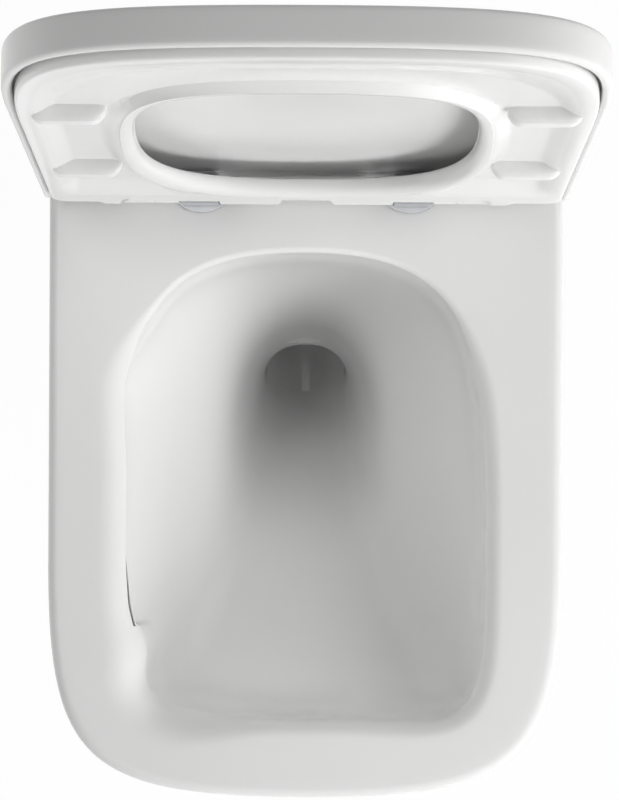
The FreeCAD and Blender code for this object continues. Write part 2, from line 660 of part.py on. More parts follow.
def make_seat_buffer(side, from_hinge):
    """Long rubber pad with round ends and a stem that is pushed into the seat."""
    x = side * buffer_x()
    y = HINGE_Y - from_hinge
    foot_z = RIM_Z + BUFFER_CLEARANCE
    height = SEAT_RECESS_Z - foot_z
    radius = BUFFER_WIDTH / 2
    reach = BUFFER_LENGTH / 2 - radius
    pad = box((x - reach, x + reach), (y - radius, y + radius), (foot_z, SEAT_RECESS_Z))
    ends = [rod_z(radius, foot_z, foot_z + height, x + way * reach, y) for way in (-1, 1)]
    pad = pad.fuse(ends).removeSplitter()
    pad = pad.makeFillet(BUFFER_EDGE_RADIUS, edges_at_height(pad, foot_z))
    stem = rod_z(BUFFER_STEM_RADIUS, SEAT_RECESS_Z, SEAT_RECESS_Z + BUFFER_STEM_LENGTH, x, y)
    return pad.fuse(stem)


def make_lid_buffer(side):
    """Round pad on the inside of the lid that comes down on the seat."""
    x = side * LID_BUFFER_X
    y = HINGE_Y - LID_BUFFER_FROM_HINGE
    foot_z = SEAT_TOP_Z + BUFFER_CLEARANCE
    pad = rod_z(LID_BUFFER_RADIUS, foot_z, LID_CEILING_Z, x, y)
    pad = pad.makeFillet(LID_BUFFER_EDGE_RADIUS, edges_at_height(pad, foot_z))
    return pad.fuse(rod_z(LID_STEM_RADIUS, LID_CEILING_Z, LID_CEILING_Z + LID_STEM_LENGTH, x, y))


def make_hinge_disc(side):
    """Chrome base disc that covers the fixing hole and carries the post off its middle."""
    foot_z = RIM_Z + GASKET_THICKNESS
    disc = rod_z(DISC_RADIUS, foot_z, DISC_TOP_Z, side * DISC_X, DISC_Y)
    disc = disc.makeFillet(DISC_EDGE_RADIUS, edges_at_height(disc, DISC_TOP_Z))
    return disc.cut(rod_z(SCREW_RADIUS + SCREW_CLEARANCE, foot_z, DISC_TOP_Z, side * SCREW_X, HINGE_Y))


def make_hinge_gasket(side):
    gasket = rod_z(DISC_RADIUS - GASKET_INSET, RIM_Z, RIM_Z + GASKET_THICKNESS, side * DISC_X, DISC_Y)
    hole = rod_z(SCREW_RADIUS + SCREW_CLEARANCE, RIM_Z, RIM_Z + GASKET_THICKNESS, side * SCREW_X, HINGE_Y)
    return gasket.cut(hole)


def make_hinge_post(side):
    """Post on the disc with a barrel that holds the hinge pin; it clips over the screw's head."""
    start = side * POST_START
    end = side * POST_END
    half_depth = POST_DEPTH / 2
    post = box((start, end), (HINGE_Y - half_depth, HINGE_Y + half_depth), (DISC_TOP_Z, HINGE_Z))
    post = post.fuse(rod_x(half_depth, start, end, HINGE_Y, HINGE_Z)).removeSplitter()
    post = post.cut(rod_x(PIN_RADIUS, start, end, HINGE_Y, HINGE_Z))
    pocket = rod_z(SCREW_HEAD_RADIUS + POST_POCKET_CLEARANCE, DISC_TOP_Z,
                   DISC_TOP_Z + SCREW_HEAD_HEIGHT + POST_POCKET_CLEARANCE, side * SCREW_X, HINGE_Y)
    return post.cut(pocket)


def make_hinge_pin(side):
    return rod_x(PIN_RADIUS, side * POST_START, side * (LID_EAR_END - CAP_STEM), HINGE_Y, HINGE_Z)


def make_hinge_screw(side):
    """Screw with a flat head that draws the sleeve nut up and spreads the rubber sleeve."""
    end_z = RIM_Z - SLEEVE_LENGTH - SLEEVE_NUT_LENGTH
    shank = rod_z(SCREW_RADIUS, end_z, DISC_TOP_Z, side * SCREW_X, HINGE_Y)
    head = rod_z(SCREW_HEAD_RADIUS, DISC_TOP_Z, DISC_TOP_Z + SCREW_HEAD_HEIGHT, side * SCREW_X, HINGE_Y)
    return shank.fuse(head)


def make_expansion_sleeve(side):
    radius = HINGE_HOLE_RADIUS - SLEEVE_CLEARANCE
    sleeve = rod_z(radius, RIM_Z - SLEEVE_LENGTH, RIM_Z, side * SCREW_X, HINGE_Y)
    bore = rod_z(SCREW_RADIUS + SCREW_CLEARANCE, RIM_Z - SLEEVE_LENGTH, RIM_Z, side * SCREW_X, HINGE_Y)
    return sleeve.cut(bore)


def make_sleeve_nut(side):
    radius = HINGE_HOLE_RADIUS - SLEEVE_CLEARANCE
    top_z = RIM_Z - SLEEVE_LENGTH
    foot_z = top_z - SLEEVE_NUT_LENGTH
    nut = rod_z(radius, foot_z, top_z, side * SCREW_X, HINGE_Y)
    return nut.cut(rod_z(SCREW_RADIUS, foot_z, top_z, side * SCREW_X, HINGE_Y))


def make_ear_lining(x_start, x_end, keyed):
    """Bush of a hinge ear that runs on the pin; a damper is a bush with a key that turns it with its ear."""
    lining = rod_x(EAR_BORE_RADIUS, x_start, x_end, HINGE_Y, HINGE_Z)
    if keyed:
        lining = lining.fuse(damper_key(x_start, x_end)).removeSplitter()
    return lining.cut(rod_x(PIN_RADIUS + PIN_CLEARANCE, x_start, x_end, HINGE_Y, HINGE_Z))


def make_hinge_cap(side):
    """Plug that closes the outer end of the lid's ear."""
    flange = rod_x(EAR_RADIUS, side * LID_EAR_END, side * (LID_EAR_END + CAP_FLANGE), HINGE_Y, HINGE_Z)
    stem = rod_x(EAR_BORE_RADIUS, side * (LID_EAR_END - CAP_STEM), side * LID_EAR_END, HINGE_Y, HINGE_Z)
    return flange.fuse(stem)


def bush_flange_x():
    """Inner face of the side bush's flange, inside the pan."""
    return side_wall_x(SHELL_WALL) - COVER_GAP - BUSH_FLANGE


def bolt_head_x():
    return bush_flange_x() + BUSH_SEAT


def make_wall_bracket(side):
    """Steel angle on the wall stud, with a threaded arm that the side bolt pulls the pan onto."""
    inner_x = FIXING_SPACING / 2 - BRACKET_INNER_EDGE
    arm_x = bush_flange_x() - CLAMP_GAP
    heights = (-BRACKET_HEIGHT / 2, BRACKET_HEIGHT / 2)
    plate = box((side * inner_x, side * arm_x), (-BRACKET_PLATE, 0), heights)
    arm = box((side * (arm_x - BRACKET_ARM), side * arm_x), (-BRACKET_REACH, 0), heights)
    bracket = plate.fuse(arm).removeSplitter()
    bracket = bracket.cut(rod_y(STUD_HOLE_RADIUS, -BRACKET_PLATE, 0, side * FIXING_SPACING / 2, 0))
    return bracket.cut(rod_x(SIDE_BOLT_RADIUS, side * (arm_x - BRACKET_ARM), side * arm_x, SIDE_BOLT_Y, 0))


def make_stud_washer(side):
    x = side * FIXING_SPACING / 2
    near_y = -BRACKET_PLATE - WASHER_THICKNESS
    washer = rod_y(WASHER_RADIUS, near_y, -BRACKET_PLATE, x, 0)
    return washer.cut(rod_y(STUD_HOLE_RADIUS, near_y, -BRACKET_PLATE, x, 0))


def make_stud_nut(side):
    """Six-sided nut for the wall stud."""
    x = side * FIXING_SPACING / 2
    far_y = -BRACKET_PLATE - WASHER_THICKNESS
    near_y = far_y - NUT_HEIGHT
    corner = NUT_ACROSS_FLATS / math.sqrt(3)
    points = []
    for step in range(7):
        angle = step * math.pi / 3
        points.append(vector(x + corner * math.cos(angle), near_y, corner * math.sin(angle)))
    nut = Part.Face(Part.makePolygon(points)).extrude(vector(0, NUT_HEIGHT, 0))
    return nut.cut(rod_y(NUT_BORE_RADIUS, near_y, far_y, x, 0))


def make_side_bush(side):
    """Nylon bush in the pan's side hole, with a flange inside and a seat for the bolt's head."""
    flange_in = bush_flange_x()
    flange_out = flange_in + BUSH_FLANGE
    end = side_wall_x(BUSH_RECESS)
    bush = rod_x(BUSH_FLANGE_RADIUS, side * flange_in, side * flange_out, SIDE_BOLT_Y, 0)
    bush = bush.fuse(rod_x(SIDE_HOLE_RADIUS - BUSH_CLEARANCE, side * flange_out, side * end, SIDE_BOLT_Y, 0))
    bush = bush.cut(rod_x(SIDE_BOLT_RADIUS + BUSH_CLEARANCE, side * flange_in, side * end, SIDE_BOLT_Y, 0))
    head_radius = BOLT_HEAD_RADIUS + BUSH_CLEARANCE
    return bush.cut(rod_x(head_radius, side * bolt_head_x(), side * end, SIDE_BOLT_Y, 0))


def make_side_bolt(side):
    tip = bush_flange_x() - CLAMP_GAP - BRACKET_ARM - SIDE_BOLT_PAST_ARM
    head_end = bolt_head_x() + BOLT_HEAD_LENGTH
    shank = rod_x(SIDE_BOLT_RADIUS, side * tip, side * bolt_head_x(), SIDE_BOLT_Y, 0)
    return shank.fuse(rod_x(BOLT_HEAD_RADIUS, side * bolt_head_x(), side * head_end, SIDE_BOLT_Y, 0))


def make_side_cover(side):
    """Round cap over the side hole, held by a stem in the bush."""
    foot = side_wall_x(-COVER_GAP)
    face = foot + COVER_THICKNESS
    cap = rod_x(COVER_RADIUS, side * foot, side * face, SIDE_BOLT_Y, 0)
    rim = []
    for edge in cap.Edges:
        if abs(edge.BoundBox.XMin - side * face) < MATCH and edge.BoundBox.XLength < MATCH:
            rim.append(edge)
    cap = cap.makeFillet(COVER_EDGE_RADIUS, rim)
    stem_start = bolt_head_x() + BOLT_HEAD_LENGTH + COVER_GAP
    return cap.fuse(rod_x(BOLT_HEAD_RADIUS, side * stem_start, side * foot, SIDE_BOLT_Y, 0))


def make_parts():
    """Every piece under its own name, as it lies with seat and lid open."""
    cap_x = LID_EAR_END - CAP_STEM
    parts = make_ceramic()
    moving = {
        "seat": swung_open(make_seat()),
        "lid": swung_open(make_lid()),
        "seat_damper": swung_open(make_ear_lining(SEAT_EAR_START, SEAT_EAR_END, True)),
        "seat_bush": swung_open(make_ear_lining(-SEAT_EAR_START, -SEAT_EAR_END, False)),
        "lid_damper": swung_open(make_ear_lining(-LID_EAR_START, -cap_x, True)),
        "lid_bush": swung_open(make_ear_lining(LID_EAR_START, cap_x, False)),
    }
    parts.update(moving)
    for side, word in ((-1, "left"), (1, "right")):
        for place, from_hinge in zip(("rear", "front"), BUFFER_FROM_HINGE):
            parts["seat_buffer_%s_%s" % (place, word)] = swung_open(make_seat_buffer(side, from_hinge))
        parts["lid_buffer_" + word] = swung_open(make_lid_buffer(side))
        parts["hinge_cap_" + word] = swung_open(make_hinge_cap(side))
        for name, maker in FIXED_PAIRS:
            parts["%s_%s" % (name, word)] = maker(side)
    return parts


FIXED_PAIRS = (
    ("hinge_disc", make_hinge_disc),
    ("hinge_gasket", make_hinge_gasket),
    ("hinge_post", make_hinge_post),
    ("hinge_pin", make_hinge_pin),
    ("hinge_screw", make_hinge_screw),
    ("expansion_sleeve", make_expansion_sleeve),
    ("sleeve_nut", make_sleeve_nut),
    ("wall_bracket", make_wall_bracket),
    ("stud_washer", make_stud_washer),
    ("stud_nut", make_stud_nut),
    ("side_bush", make_side_bush),
    ("side_bolt", make_side_bolt),
    ("side_cover", make_side_cover),
)


os.makedirs("parts", exist_ok=True)
for part_name, part_shape in make_parts().items():
    print(part_name, part_shape.isValid(), len(part_shape.Solids), round(part_shape.Volume, 1))
    part_shape.exportStep("parts/%s.step" % part_name)
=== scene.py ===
import math

import bmesh
import bpy
import numpy as np
from mathutils import Matrix


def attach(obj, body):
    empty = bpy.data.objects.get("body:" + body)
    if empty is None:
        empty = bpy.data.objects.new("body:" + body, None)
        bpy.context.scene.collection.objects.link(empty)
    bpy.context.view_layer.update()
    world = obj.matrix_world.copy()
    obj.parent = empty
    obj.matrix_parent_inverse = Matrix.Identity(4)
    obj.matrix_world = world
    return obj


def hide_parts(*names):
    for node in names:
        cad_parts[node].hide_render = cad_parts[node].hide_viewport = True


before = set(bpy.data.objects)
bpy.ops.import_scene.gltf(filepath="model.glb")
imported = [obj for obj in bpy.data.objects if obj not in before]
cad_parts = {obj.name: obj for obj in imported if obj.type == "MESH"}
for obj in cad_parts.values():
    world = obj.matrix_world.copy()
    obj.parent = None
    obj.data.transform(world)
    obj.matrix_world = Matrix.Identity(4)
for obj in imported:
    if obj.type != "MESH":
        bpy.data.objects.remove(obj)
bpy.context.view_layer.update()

# Pan: one vitreous china casting, slip cast with its upright rim band, rimless bowl, flush ledge, trap and
# outlet spigot in one piece, then glazed white and fired. The side bolts draw its rear edge against the wall.
MM = 0.001
PAN_HALF_WIDTH = 180.0
PAN_FRONT_Y = -510.0
PAN_HEIGHT = 345.0
RIM_Z = 80.0
FRONT_DEPTH = 165.0
FRONT_POWER = 3.5
RIM_BAND = 24.0
RIM_EDGE = 7.0
FOOT_EDGE = 16.0
FOOT_SIDE_INSET = 65.0
FOOT_SIDE_POWER = 4
FOOT_FRONT_INSET = 215.0
FOOT_FRONT_POWER = 2.2
SHELL_WALL = 10.0
RIM_DECK = 16.0
BOWL_HALF_WIDTH = 129.0
BOWL_REAR_Y = -128.0
BOWL_FRONT_Y = -462.0
BOWL_DEPTH = 238.0
BOWL_WALL = 11.0
BOWL_MIDDLE_Y = -315.0
# share of the depth, then the shares drawn in at the sides, the rear and the front
BOWL_PROFILE = (
    (0.0, 0.0, 0.0, 0.0),
    (0.118, 0.016, 0.006, 0.006),
    (0.252, 0.1, 0.021, 0.033),
    (0.37, 0.271, 0.048, 0.108),
    (0.454, 0.426, 0.078, 0.222),
    (0.538, 0.535, 0.105, 0.335),
    (0.651, 0.612, 0.135, 0.443),
)
# leaning rings of the throat: rear y and z, front y and z, half width
THROAT_RINGS = (
    (-178.5, -92.0, -291.0, -99.0, 44.0),
    (-183.0, -104.0, -272.0, -119.0, 39.0),
    (-186.5, -112.5, -257.0, -134.5, 35.3),
    (-188.7, -119.0, -246.0, -147.0, 32.6),
    (-187.5, -122.5, -239.0, -155.0, 31.0),
    (-184.5, -126.0, -231.5, -162.5, 30.3),
    (-179.5, -131.0, -224.5, -170.5, 30.0),
)
# widest place as a share of a ring's length, then the powers of its rear and its front: at the rim, where the
# throat starts and where it meets the trap
RIM_FORM = np.array((0.56, 3.1, 6.0))
THROAT_FORM = np.array((0.56, 2.38, 4.3))
TRAP_FORM = np.array((0.5, 2.0, 2.0))
TRAP_LINE = ((-202.0, -150.0), (-173.7, -182.0), (-123.7, -60.0), (-45.0, -100.0), (-3.0, -100.0))
TRAP_BENDS = (42.0, 42.0, 60.0)
TRAP_STEP = 9.0
TRAP_BORE = 30.0
TRAP_WALL = 8.0
OUTLET_Z = -100.0
SPIGOT = 51.0
SPIGOT_BORE = 43.0
SPIGOT_END_Y = -3.0
SPIGOT_STEP_Y = -45.0
COLLAR = 55.0
COLLAR_FRONT_Y = -80.0
COLLAR_REAR_Y = -48.0
COLLAR_ROOM = 2.0
# roll round the bowl's mouth: the angle it ends at, its least radius and the depth at which it has run out
ROLL_END = math.radians(12.0)
ROLL_RADIUS = 4.5
ROLL_FOOT = 85.0
# what each stretch of the mouth adds to the roll's radius and to its overhang into the bowl
LEDGE_ROLL = (20.0, 8.0)
RIGHT_ROLL = (7.5, 1.5)
NOSE_ROLL = (7.5, 6.0)
CORNER_ROLL = (5.0, 7.0)
# where they come in: between two distances from the middle at the nose, between two places along y elsewhere
NOSE_SIDES = (20.0, 110.0)
LEDGE_ROLL_GROWS = (-155.0, -225.0)
LEDGE_OVERHANGS = (-200.0, -290.0)
RIGHT_ROLL_GROWS = (-150.0, -230.0)
CORNER_STARTS = (-372.0, -416.0)
CORNER_FADES = (-405.0, -440.0)
CORNER_FADE = 0.85
CORNER_FOOT = 35.0
LEDGE_END_Y = -392.0
# extra columns on both sides of the ledge's end, and the room kept round them
LEDGE_COLUMNS = (-0.05, -0.03, -0.018, -0.01, -0.005, -0.002, 0.0, 0.002, 0.005, 0.01, 0.018, 0.03)
LEDGE_ROOM = 0.004
# section of the slot under the ledge: outwards and down from its lip
SLOT_LINE = ((0.1, 0.9), (2.2, 2.6), (3.4, 3.9), (4.0, 6.5), (4.0, 10.0), (4.0, 14.0))
# the same where the slot narrows to a crack at the end of the ledge
CRACK_LINE = ((0.3, 1.5), (1.6, 9.0), (-1.3, 2.4), (-1.2, 3.4), (0.6, 8.0), (1.2, 14.0))
# drop down to which the slot is cut off square at its end, and depth at which its wall has run out
SLOT_LIP = 4.0
SLOT_FOOT = 70.0
# where the slot opens, closes in and ends, where it turns into the crack and its lip moves down the roll
SLOT_OPENS = (-165.0, -230.0)
SLOT_CLOSES_Y = -300.0
SLOT_CLOSED = 0.3
SLOT_ENDS = (LEDGE_END_Y - 1.0, LEDGE_END_Y + 2.5)
CRACK_STARTS = (-275.0, -380.0)
LIP_TURNS = (-335.0, LEDGE_END_Y)
LIP_ANGLES = (42.0, 34.0)
# columns along a side, a front quarter and the rear, and places tried where rays cross an oval
SIDE_COLUMNS = 40
FRONT_COLUMNS = 64
REAR_COLUMNS = 48
FINE_PLACES = 2001


def even(count):
    """Even places along one run of an outline, without its end."""
    return np.linspace(0, 1, count, endpoint=False)


def run(start, end, t):
    """Points along a straight run."""
    return np.outer(1 - t, start) + np.outer(t, end)


def quarter(start, corner, end, power, t):
    """Points along a quarter superellipse from start to end that bulges towards the corner."""
    reach = (8 * 0.5 ** (1 / np.asarray(power, float)) - 4) / 3
    reach = reach[:, None] if np.ndim(reach) else reach
    near = start + (corner - start) * reach
    far = end + (corner - end) * reach
    weights = ((1 - t) ** 3, 3 * t * (1 - t) ** 2, 3 * t * t * (1 - t), t ** 3)
    return sum(weight[:, None] * point for weight, point in zip(weights, (start, near, far, end)))


def pair(x, y):
    return np.stack(np.broadcast_arrays(np.asarray(x, float), np.asarray(y, float)), -1)


def plan_points(u, half_width, rear_y, front_y, corner):
    """Plan outline with straight sides and a rounded front; u counts its seven runs from the left side on."""
    turn_y = front_y + FRONT_DEPTH
    side_y = rear_y - corner
    flat_x = half_width - corner
    part = np.minimum(u.astype(int), 6)
    t = u - part
    front = pair(0, front_y)
    runs = (
        run((-half_width, side_y), (-half_width, turn_y), t),
        quarter(pair(-half_width, turn_y), pair(-half_width, front_y), front, FRONT_POWER, t),
        quarter(front, pair(half_width, front_y), pair(half_width, turn_y), FRONT_POWER, t),
        run((half_width, turn_y), (half_width, side_y), t),
        quarter(pair(half_width, side_y), pair(half_width, rear_y), pair(flat_x, rear_y), 2, t),
        run((flat_x, rear_y), (-flat_x, rear_y), t),
        quarter(pair(-flat_x, rear_y), pair(-half_width, rear_y), pair(-half_width, side_y), 2, t),
    )
    return np.choose(part[:, None], runs)


def oval_points(v, half_width, rear, front, widest, rear_power, front_power):
    """Oval in four quarters from the left by way of the front; v counts them."""
    part = np.minimum(v.astype(int), 3)
    t = v - part
    left = pair(-half_width, widest)
    right = pair(half_width, widest)
    nose = pair(0, front)
    tail = pair(0, rear)
    quarters = (
        quarter(left, pair(-half_width, front), nose, front_power, t),
        quarter(nose, pair(half_width, front), right, front_power, t),
        quarter(right, pair(half_width, rear), tail, rear_power, t),
        quarter(tail, pair(-half_width, rear), left, rear_power, t),
    )
    return np.choose(part[:, None], quarters)


def bearings(points, middle_y):
    """Angle of plan points about the middle line, counted from the left by way of the front."""
    return np.mod(np.arctan2(points[:, 1] - middle_y, points[:, 0]) - math.pi, 2 * math.pi)


def facing_places(points, middle_y, oval):
    """Where the rays from the middle to the points cross an oval, in its own count of quarters."""
    v = np.linspace(0, 4, FINE_PLACES)
    angles = bearings(oval_points(v, *oval), middle_y)
    angles[0] = 0
    angles[-1] = 2 * math.pi
    return np.interp(bearings(points, middle_y), angles, v)


def smooth_through(places, values, at):
    """Natural cubic spline through rows of values."""
    steps = np.diff(places)
    count = len(places)
    matrix = np.eye(count)
    bends = np.zeros_like(values)
    for row in range(1, count - 1):
        matrix[row, row - 1:row + 2] = steps[row - 1], 2 * (steps[row - 1] + steps[row]), steps[row]
        bends[row] = 6 * ((values[row + 1] - values[row]) / steps[row]
                          - (values[row] - values[row - 1]) / steps[row - 1])
    bends = np.linalg.solve(matrix, bends)
    first = np.clip(np.searchsorted(places, at) - 1, 0, count - 2)
    length = steps[first]
    ahead = (at - places[first]) / length
    back = 1 - ahead
    bend_back = (back ** 3 - back) * length ** 2 / 6
    bend_ahead = (ahead ** 3 - ahead) * length ** 2 / 6
    return (back[:, None] * values[first] + ahead[:, None] * values[first + 1]
            + bend_back[:, None] * bends[first] + bend_ahead[:, None] * bends[first + 1])


def ease(low, high, value):
    """Smooth step from 0 at low to 1 at high."""
    share = np.clip((value - low) / (high - low), 0, 1)
    return share * share * (3 - 2 * share)


def rounded_line(corners, bends, step):
    """Points along straight runs joined by arcs, in a plane."""
    corners = np.array(corners)
    line = [corners[0]]
    for corner, before, after, radius in zip(corners[1:-1], corners[:-2], corners[2:], bends):
        back = (before - corner) / np.linalg.norm(before - corner)
        ahead = (after - corner) / np.linalg.norm(after - corner)
        half = math.acos(np.clip(back @ ahead, -1, 1)) / 2
        middle = corner + (back + ahead) / np.linalg.norm(back + ahead) * radius / math.sin(half)
        start = corner + back * radius / math.tan(half) - middle
        end = corner + ahead * radius / math.tan(half) - middle
        turn = math.pi - 2 * half
        arcs = max(3, round(turn * radius / step))
        for share in np.linspace(0, 1, arcs + 1):
            weight = math.sin((1 - share) * turn) * start + math.sin(share * turn) * end
            line.append(middle + weight / math.sin(turn))
    line.append(corners[-1])
    spread = [line[0]]
    for point in line[1:]:
        pieces = max(1, round(np.linalg.norm(point - spread[-1]) / step))
        spread += [spread[-1] + (point - spread[-1]) * share for share in np.linspace(0, 1, pieces + 1)[1:]]
    return np.array(spread)


SHARP_ANGLE = math.radians(40.0)
MERGE_DISTANCE = 1e-6


class Grid:
    """Mesh made of rows of points over the same columns, where a row may leave columns out."""

    def __init__(self, columns):
        self.columns = columns
        self.points = []
        self.faces = []

    def row(self, points, kept=None):
        kept = np.ones(self.columns, bool) if kept is None else kept
        index = np.full(self.columns, -1)
        index[kept] = len(self.points) + np.arange(kept.sum())
        self.points += [tuple(point) for point in points[kept]]
        return index

    def join(self, rows, closed=False):
        following = rows[1:] + rows[:1] if closed else rows[1:]
        for one, other in zip(rows, following):
            for column in range(self.columns):
                after = (column + 1) % self.columns
                corners = (one[column], one[after], other[after], other[column])
                if min(corners) >= 0:
                    self.faces.append(corners)

    def bridge(self, loop, other):
        for place in range(len(loop)):
            after = (place + 1) % len(loop)
            self.faces.append((loop[place], loop[after], other[after], other[place]))

    def pole(self, ring, point):
        self.points.append(tuple(point))
        for column in range(self.columns):
            self.faces.append((ring[column], ring[(column + 1) % self.columns], len(self.points) - 1))

    def mesh(self, name, extras=(), turn=None):
        """Closed mesh in metres, with extra shells joined in, turned into place and shaded smooth."""
        shape = bmesh.new()
        corners = [shape.verts.new(np.array(point) * MM) for point in self.points]
        for face in self.faces:
            if len(set(face)) > 2:
                shape.faces.new([corners[index] for index in dict.fromkeys(face)])
        bmesh.ops.remove_doubles(shape, verts=shape.verts, dist=MERGE_DISTANCE)
        bmesh.ops.recalc_face_normals(shape, faces=shape.faces)
        for extra in extras:
            extra(shape)
        data = bpy.data.meshes.new(name)
        shape.to_mesh(data)
        shape.free()
        if turn is not None:
            data.transform(turn)
        data.shade_smooth()
        data.set_sharp_from_angle(angle=SHARP_ANGLE)
        return data


def level(points, z):
    return np.column_stack((points, np.broadcast_to(z, len(points))))


def shown(name, data, body, replaced, material):
    """Adds a finished piece that rides on a body and stands for its solids."""
    piece = bpy.data.objects.new(name, data)
    bpy.context.scene.collection.objects.link(piece)
    piece.data.materials.clear()
    piece.data.materials.append(material)
    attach(piece, body)
    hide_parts(*replaced)


NOISE_RANGE = (0.3, 0.7)
TONE_DETAIL = 4.0
RIPPLE_DETAIL = 2.0
COAT_ROUGHNESS = 0.03


def finish(name, dark, light, patch, rough, ripple, ripple_depth,
           metal=0.0, coat=0.0, specular=0.5, stretch=(1, 1, 1)):
    """Material whose tone, gloss and surface ripple drift with noise over the piece."""
    material = bpy.data.materials.new(name)
    material.use_nodes = True
    nodes = material.node_tree.nodes
    link = material.node_tree.links.new
    shader = nodes["Principled BSDF"]
    shader.inputs["Metallic"].default_value = metal
    shader.inputs["Specular IOR Level"].default_value = specular
    shader.inputs["Coat Weight"].default_value = coat
    shader.inputs["Coat Roughness"].default_value = COAT_ROUGHNESS
    place = nodes.new("ShaderNodeTexCoord")
    spread = nodes.new("ShaderNodeMapping")
    spread.inputs["Scale"].default_value = stretch
    link(place.outputs["Object"], spread.inputs["Vector"])
    noises = []
    for scale, detail in ((patch, TONE_DETAIL), (ripple, RIPPLE_DETAIL)):
        noise = nodes.new("ShaderNodeTexNoise")
        noise.inputs["Scale"].default_value = scale
        noise.inputs["Detail"].default_value = detail
        link(spread.outputs["Vector"], noise.inputs["Vector"])
        noises.append(noise.outputs["Fac"])
    tone, grain = noises
    ramp = nodes.new("ShaderNodeValToRGB")
    for element, share, colour in zip(ramp.color_ramp.elements, NOISE_RANGE, (dark, light)):
        element.position = share
        element.color = (*colour, 1)
    link(tone, ramp.inputs["Fac"])
    link(ramp.outputs["Color"], shader.inputs["Base Color"])
    gloss = nodes.new("ShaderNodeMapRange")
    for end, share, value in zip(("Min", "Max"), NOISE_RANGE, rough):
        gloss.inputs["From " + end].default_value = share
        gloss.inputs["To " + end].default_value = value
    link(tone, gloss.inputs["Value"])
    link(gloss.outputs["Result"], shader.inputs["Roughness"])
    bump = nodes.new("ShaderNodeBump")
    bump.inputs["Strength"].default_value = 1.0
    bump.inputs["Distance"].default_value = ripple_depth
    link(grain, bump.inputs["Height"])
    link(bump.outputs["Normal"], shader.inputs["Normal"])
    return material


def shell_inset(depth, inset):
    """Half width, rear, front and rear corner of the pan's outside at a depth below the rim."""
    share = max(depth - RIM_BAND, 0.0) / (PAN_HEIGHT - RIM_BAND)
    return (PAN_HALF_WIDTH - FOOT_SIDE_INSET * share ** FOOT_SIDE_POWER - inset, 0.0,
            PAN_FRONT_Y + FOOT_FRONT_INSET * share ** FOOT_FRONT_POWER + inset, 0.0)


bowl_length = BOWL_REAR_Y - BOWL_FRONT_Y
rings = []
for share, side, rear, front in BOWL_PROFILE:
    z = RIM_Z - BOWL_DEPTH * share
    form = RIM_FORM + (TRAP_FORM - RIM_FORM) * (0, share, share ** 2)
    rings.append((BOWL_REAR_Y - bowl_length * rear, z, BOWL_FRONT_Y + bowl_length * front, z,
                  BOWL_HALF_WIDTH * (1 - side), *form))
for count, ring in enumerate(THROAT_RINGS, 1):
    form = THROAT_FORM + (TRAP_FORM - THROAT_FORM) * count / len(THROAT_RINGS)
    rings.append((*ring, *form))
rings = np.array(rings)
travel = np.hypot(*np.diff(rings[:, 0:2], axis=0).T) + np.hypot(*np.diff(rings[:, 2:4], axis=0).T)
travel = np.concatenate(([0], np.cumsum(travel / 2)))
opening = (BOWL_HALF_WIDTH, BOWL_REAR_Y, BOWL_FRONT_Y, BOWL_MIDDLE_Y, *RIM_FORM[1:])

fine = np.linspace(0, 2, FINE_PLACES)
fine_outline = plan_points(fine, *shell_inset(0, 0))
fine_oval = oval_points(facing_places(fine_outline, BOWL_MIDDLE_Y, opening), *opening)
ledge_u = np.interp(-LEDGE_END_Y, -fine_oval[:, 1], fine)
side_places = even(SIDE_COLUMNS)
front_places = even(FRONT_COLUMNS)
near_ledge = ledge_u + np.array(LEDGE_COLUMNS)
shell_u = np.concatenate((side_places, 1 + front_places, 2 + front_places, 3 + side_places, (4.0,)))
shell_u = shell_u[np.min(np.abs(shell_u[:, None] - near_ledge), axis=1) > LEDGE_ROOM]
shell_u = np.sort(np.concatenate((shell_u, near_ledge)))
rear_u = 5 + np.linspace(0, 1, REAR_COLUMNS + 2)[1:-1]
pan_u = np.concatenate((shell_u, rear_u))
columns = len(pan_u)
on_shell = pan_u <= 4.0
rim_outline = plan_points(pan_u, *shell_inset(0, 0))
bowl_v = facing_places(rim_outline, BOWL_MIDDLE_Y, opening)
mouth = oval_points(bowl_v, *opening)
mouth_y = mouth[:, 1]
along = np.roll(mouth, -1, axis=0) - np.roll(mouth, 1, axis=0)
outward = np.column_stack((along[:, 1], -along[:, 0])) / np.linalg.norm(along, axis=1)[:, None]
on_left = ease(*NOSE_SIDES, -mouth[:, 0])
on_right = ease(*NOSE_SIDES, mouth[:, 0])
at_nose = (1 - on_left - on_right) * (mouth_y < BOWL_MIDDLE_Y)
past_ledge = on_left * ease(*CORNER_STARTS, mouth_y)
mouth_edge = (ROLL_RADIUS + LEDGE_ROLL[0] * on_left * ease(*LEDGE_ROLL_GROWS, mouth_y)
              + RIGHT_ROLL[0] * on_right * ease(*RIGHT_ROLL_GROWS, mouth_y)
              + NOSE_ROLL[0] * at_nose + CORNER_ROLL[0] * past_ledge)
mouth_in = (LEDGE_ROLL[1] * on_left * ease(*LEDGE_OVERHANGS, mouth_y)
            + RIGHT_ROLL[1] * on_right + NOSE_ROLL[1] * at_nose
            + CORNER_ROLL[1] * past_ledge * (1 - CORNER_FADE * ease(*CORNER_FADES, mouth_y)))
mouth_foot = ROLL_FOOT + CORNER_FOOT * past_ledge
mouth_depth = mouth_edge * (1 - math.sin(ROLL_END))


def slot_at(y):
    """How far the slot under the ledge stands open at a place along it."""
    share = np.clip((SLOT_CLOSES_Y - y) / (SLOT_CLOSES_Y - LEDGE_END_Y), 0, 1)
    return on_left * ease(*SLOT_OPENS, y) * (1 - SLOT_CLOSED * share ** 3) * ease(*SLOT_ENDS, y)


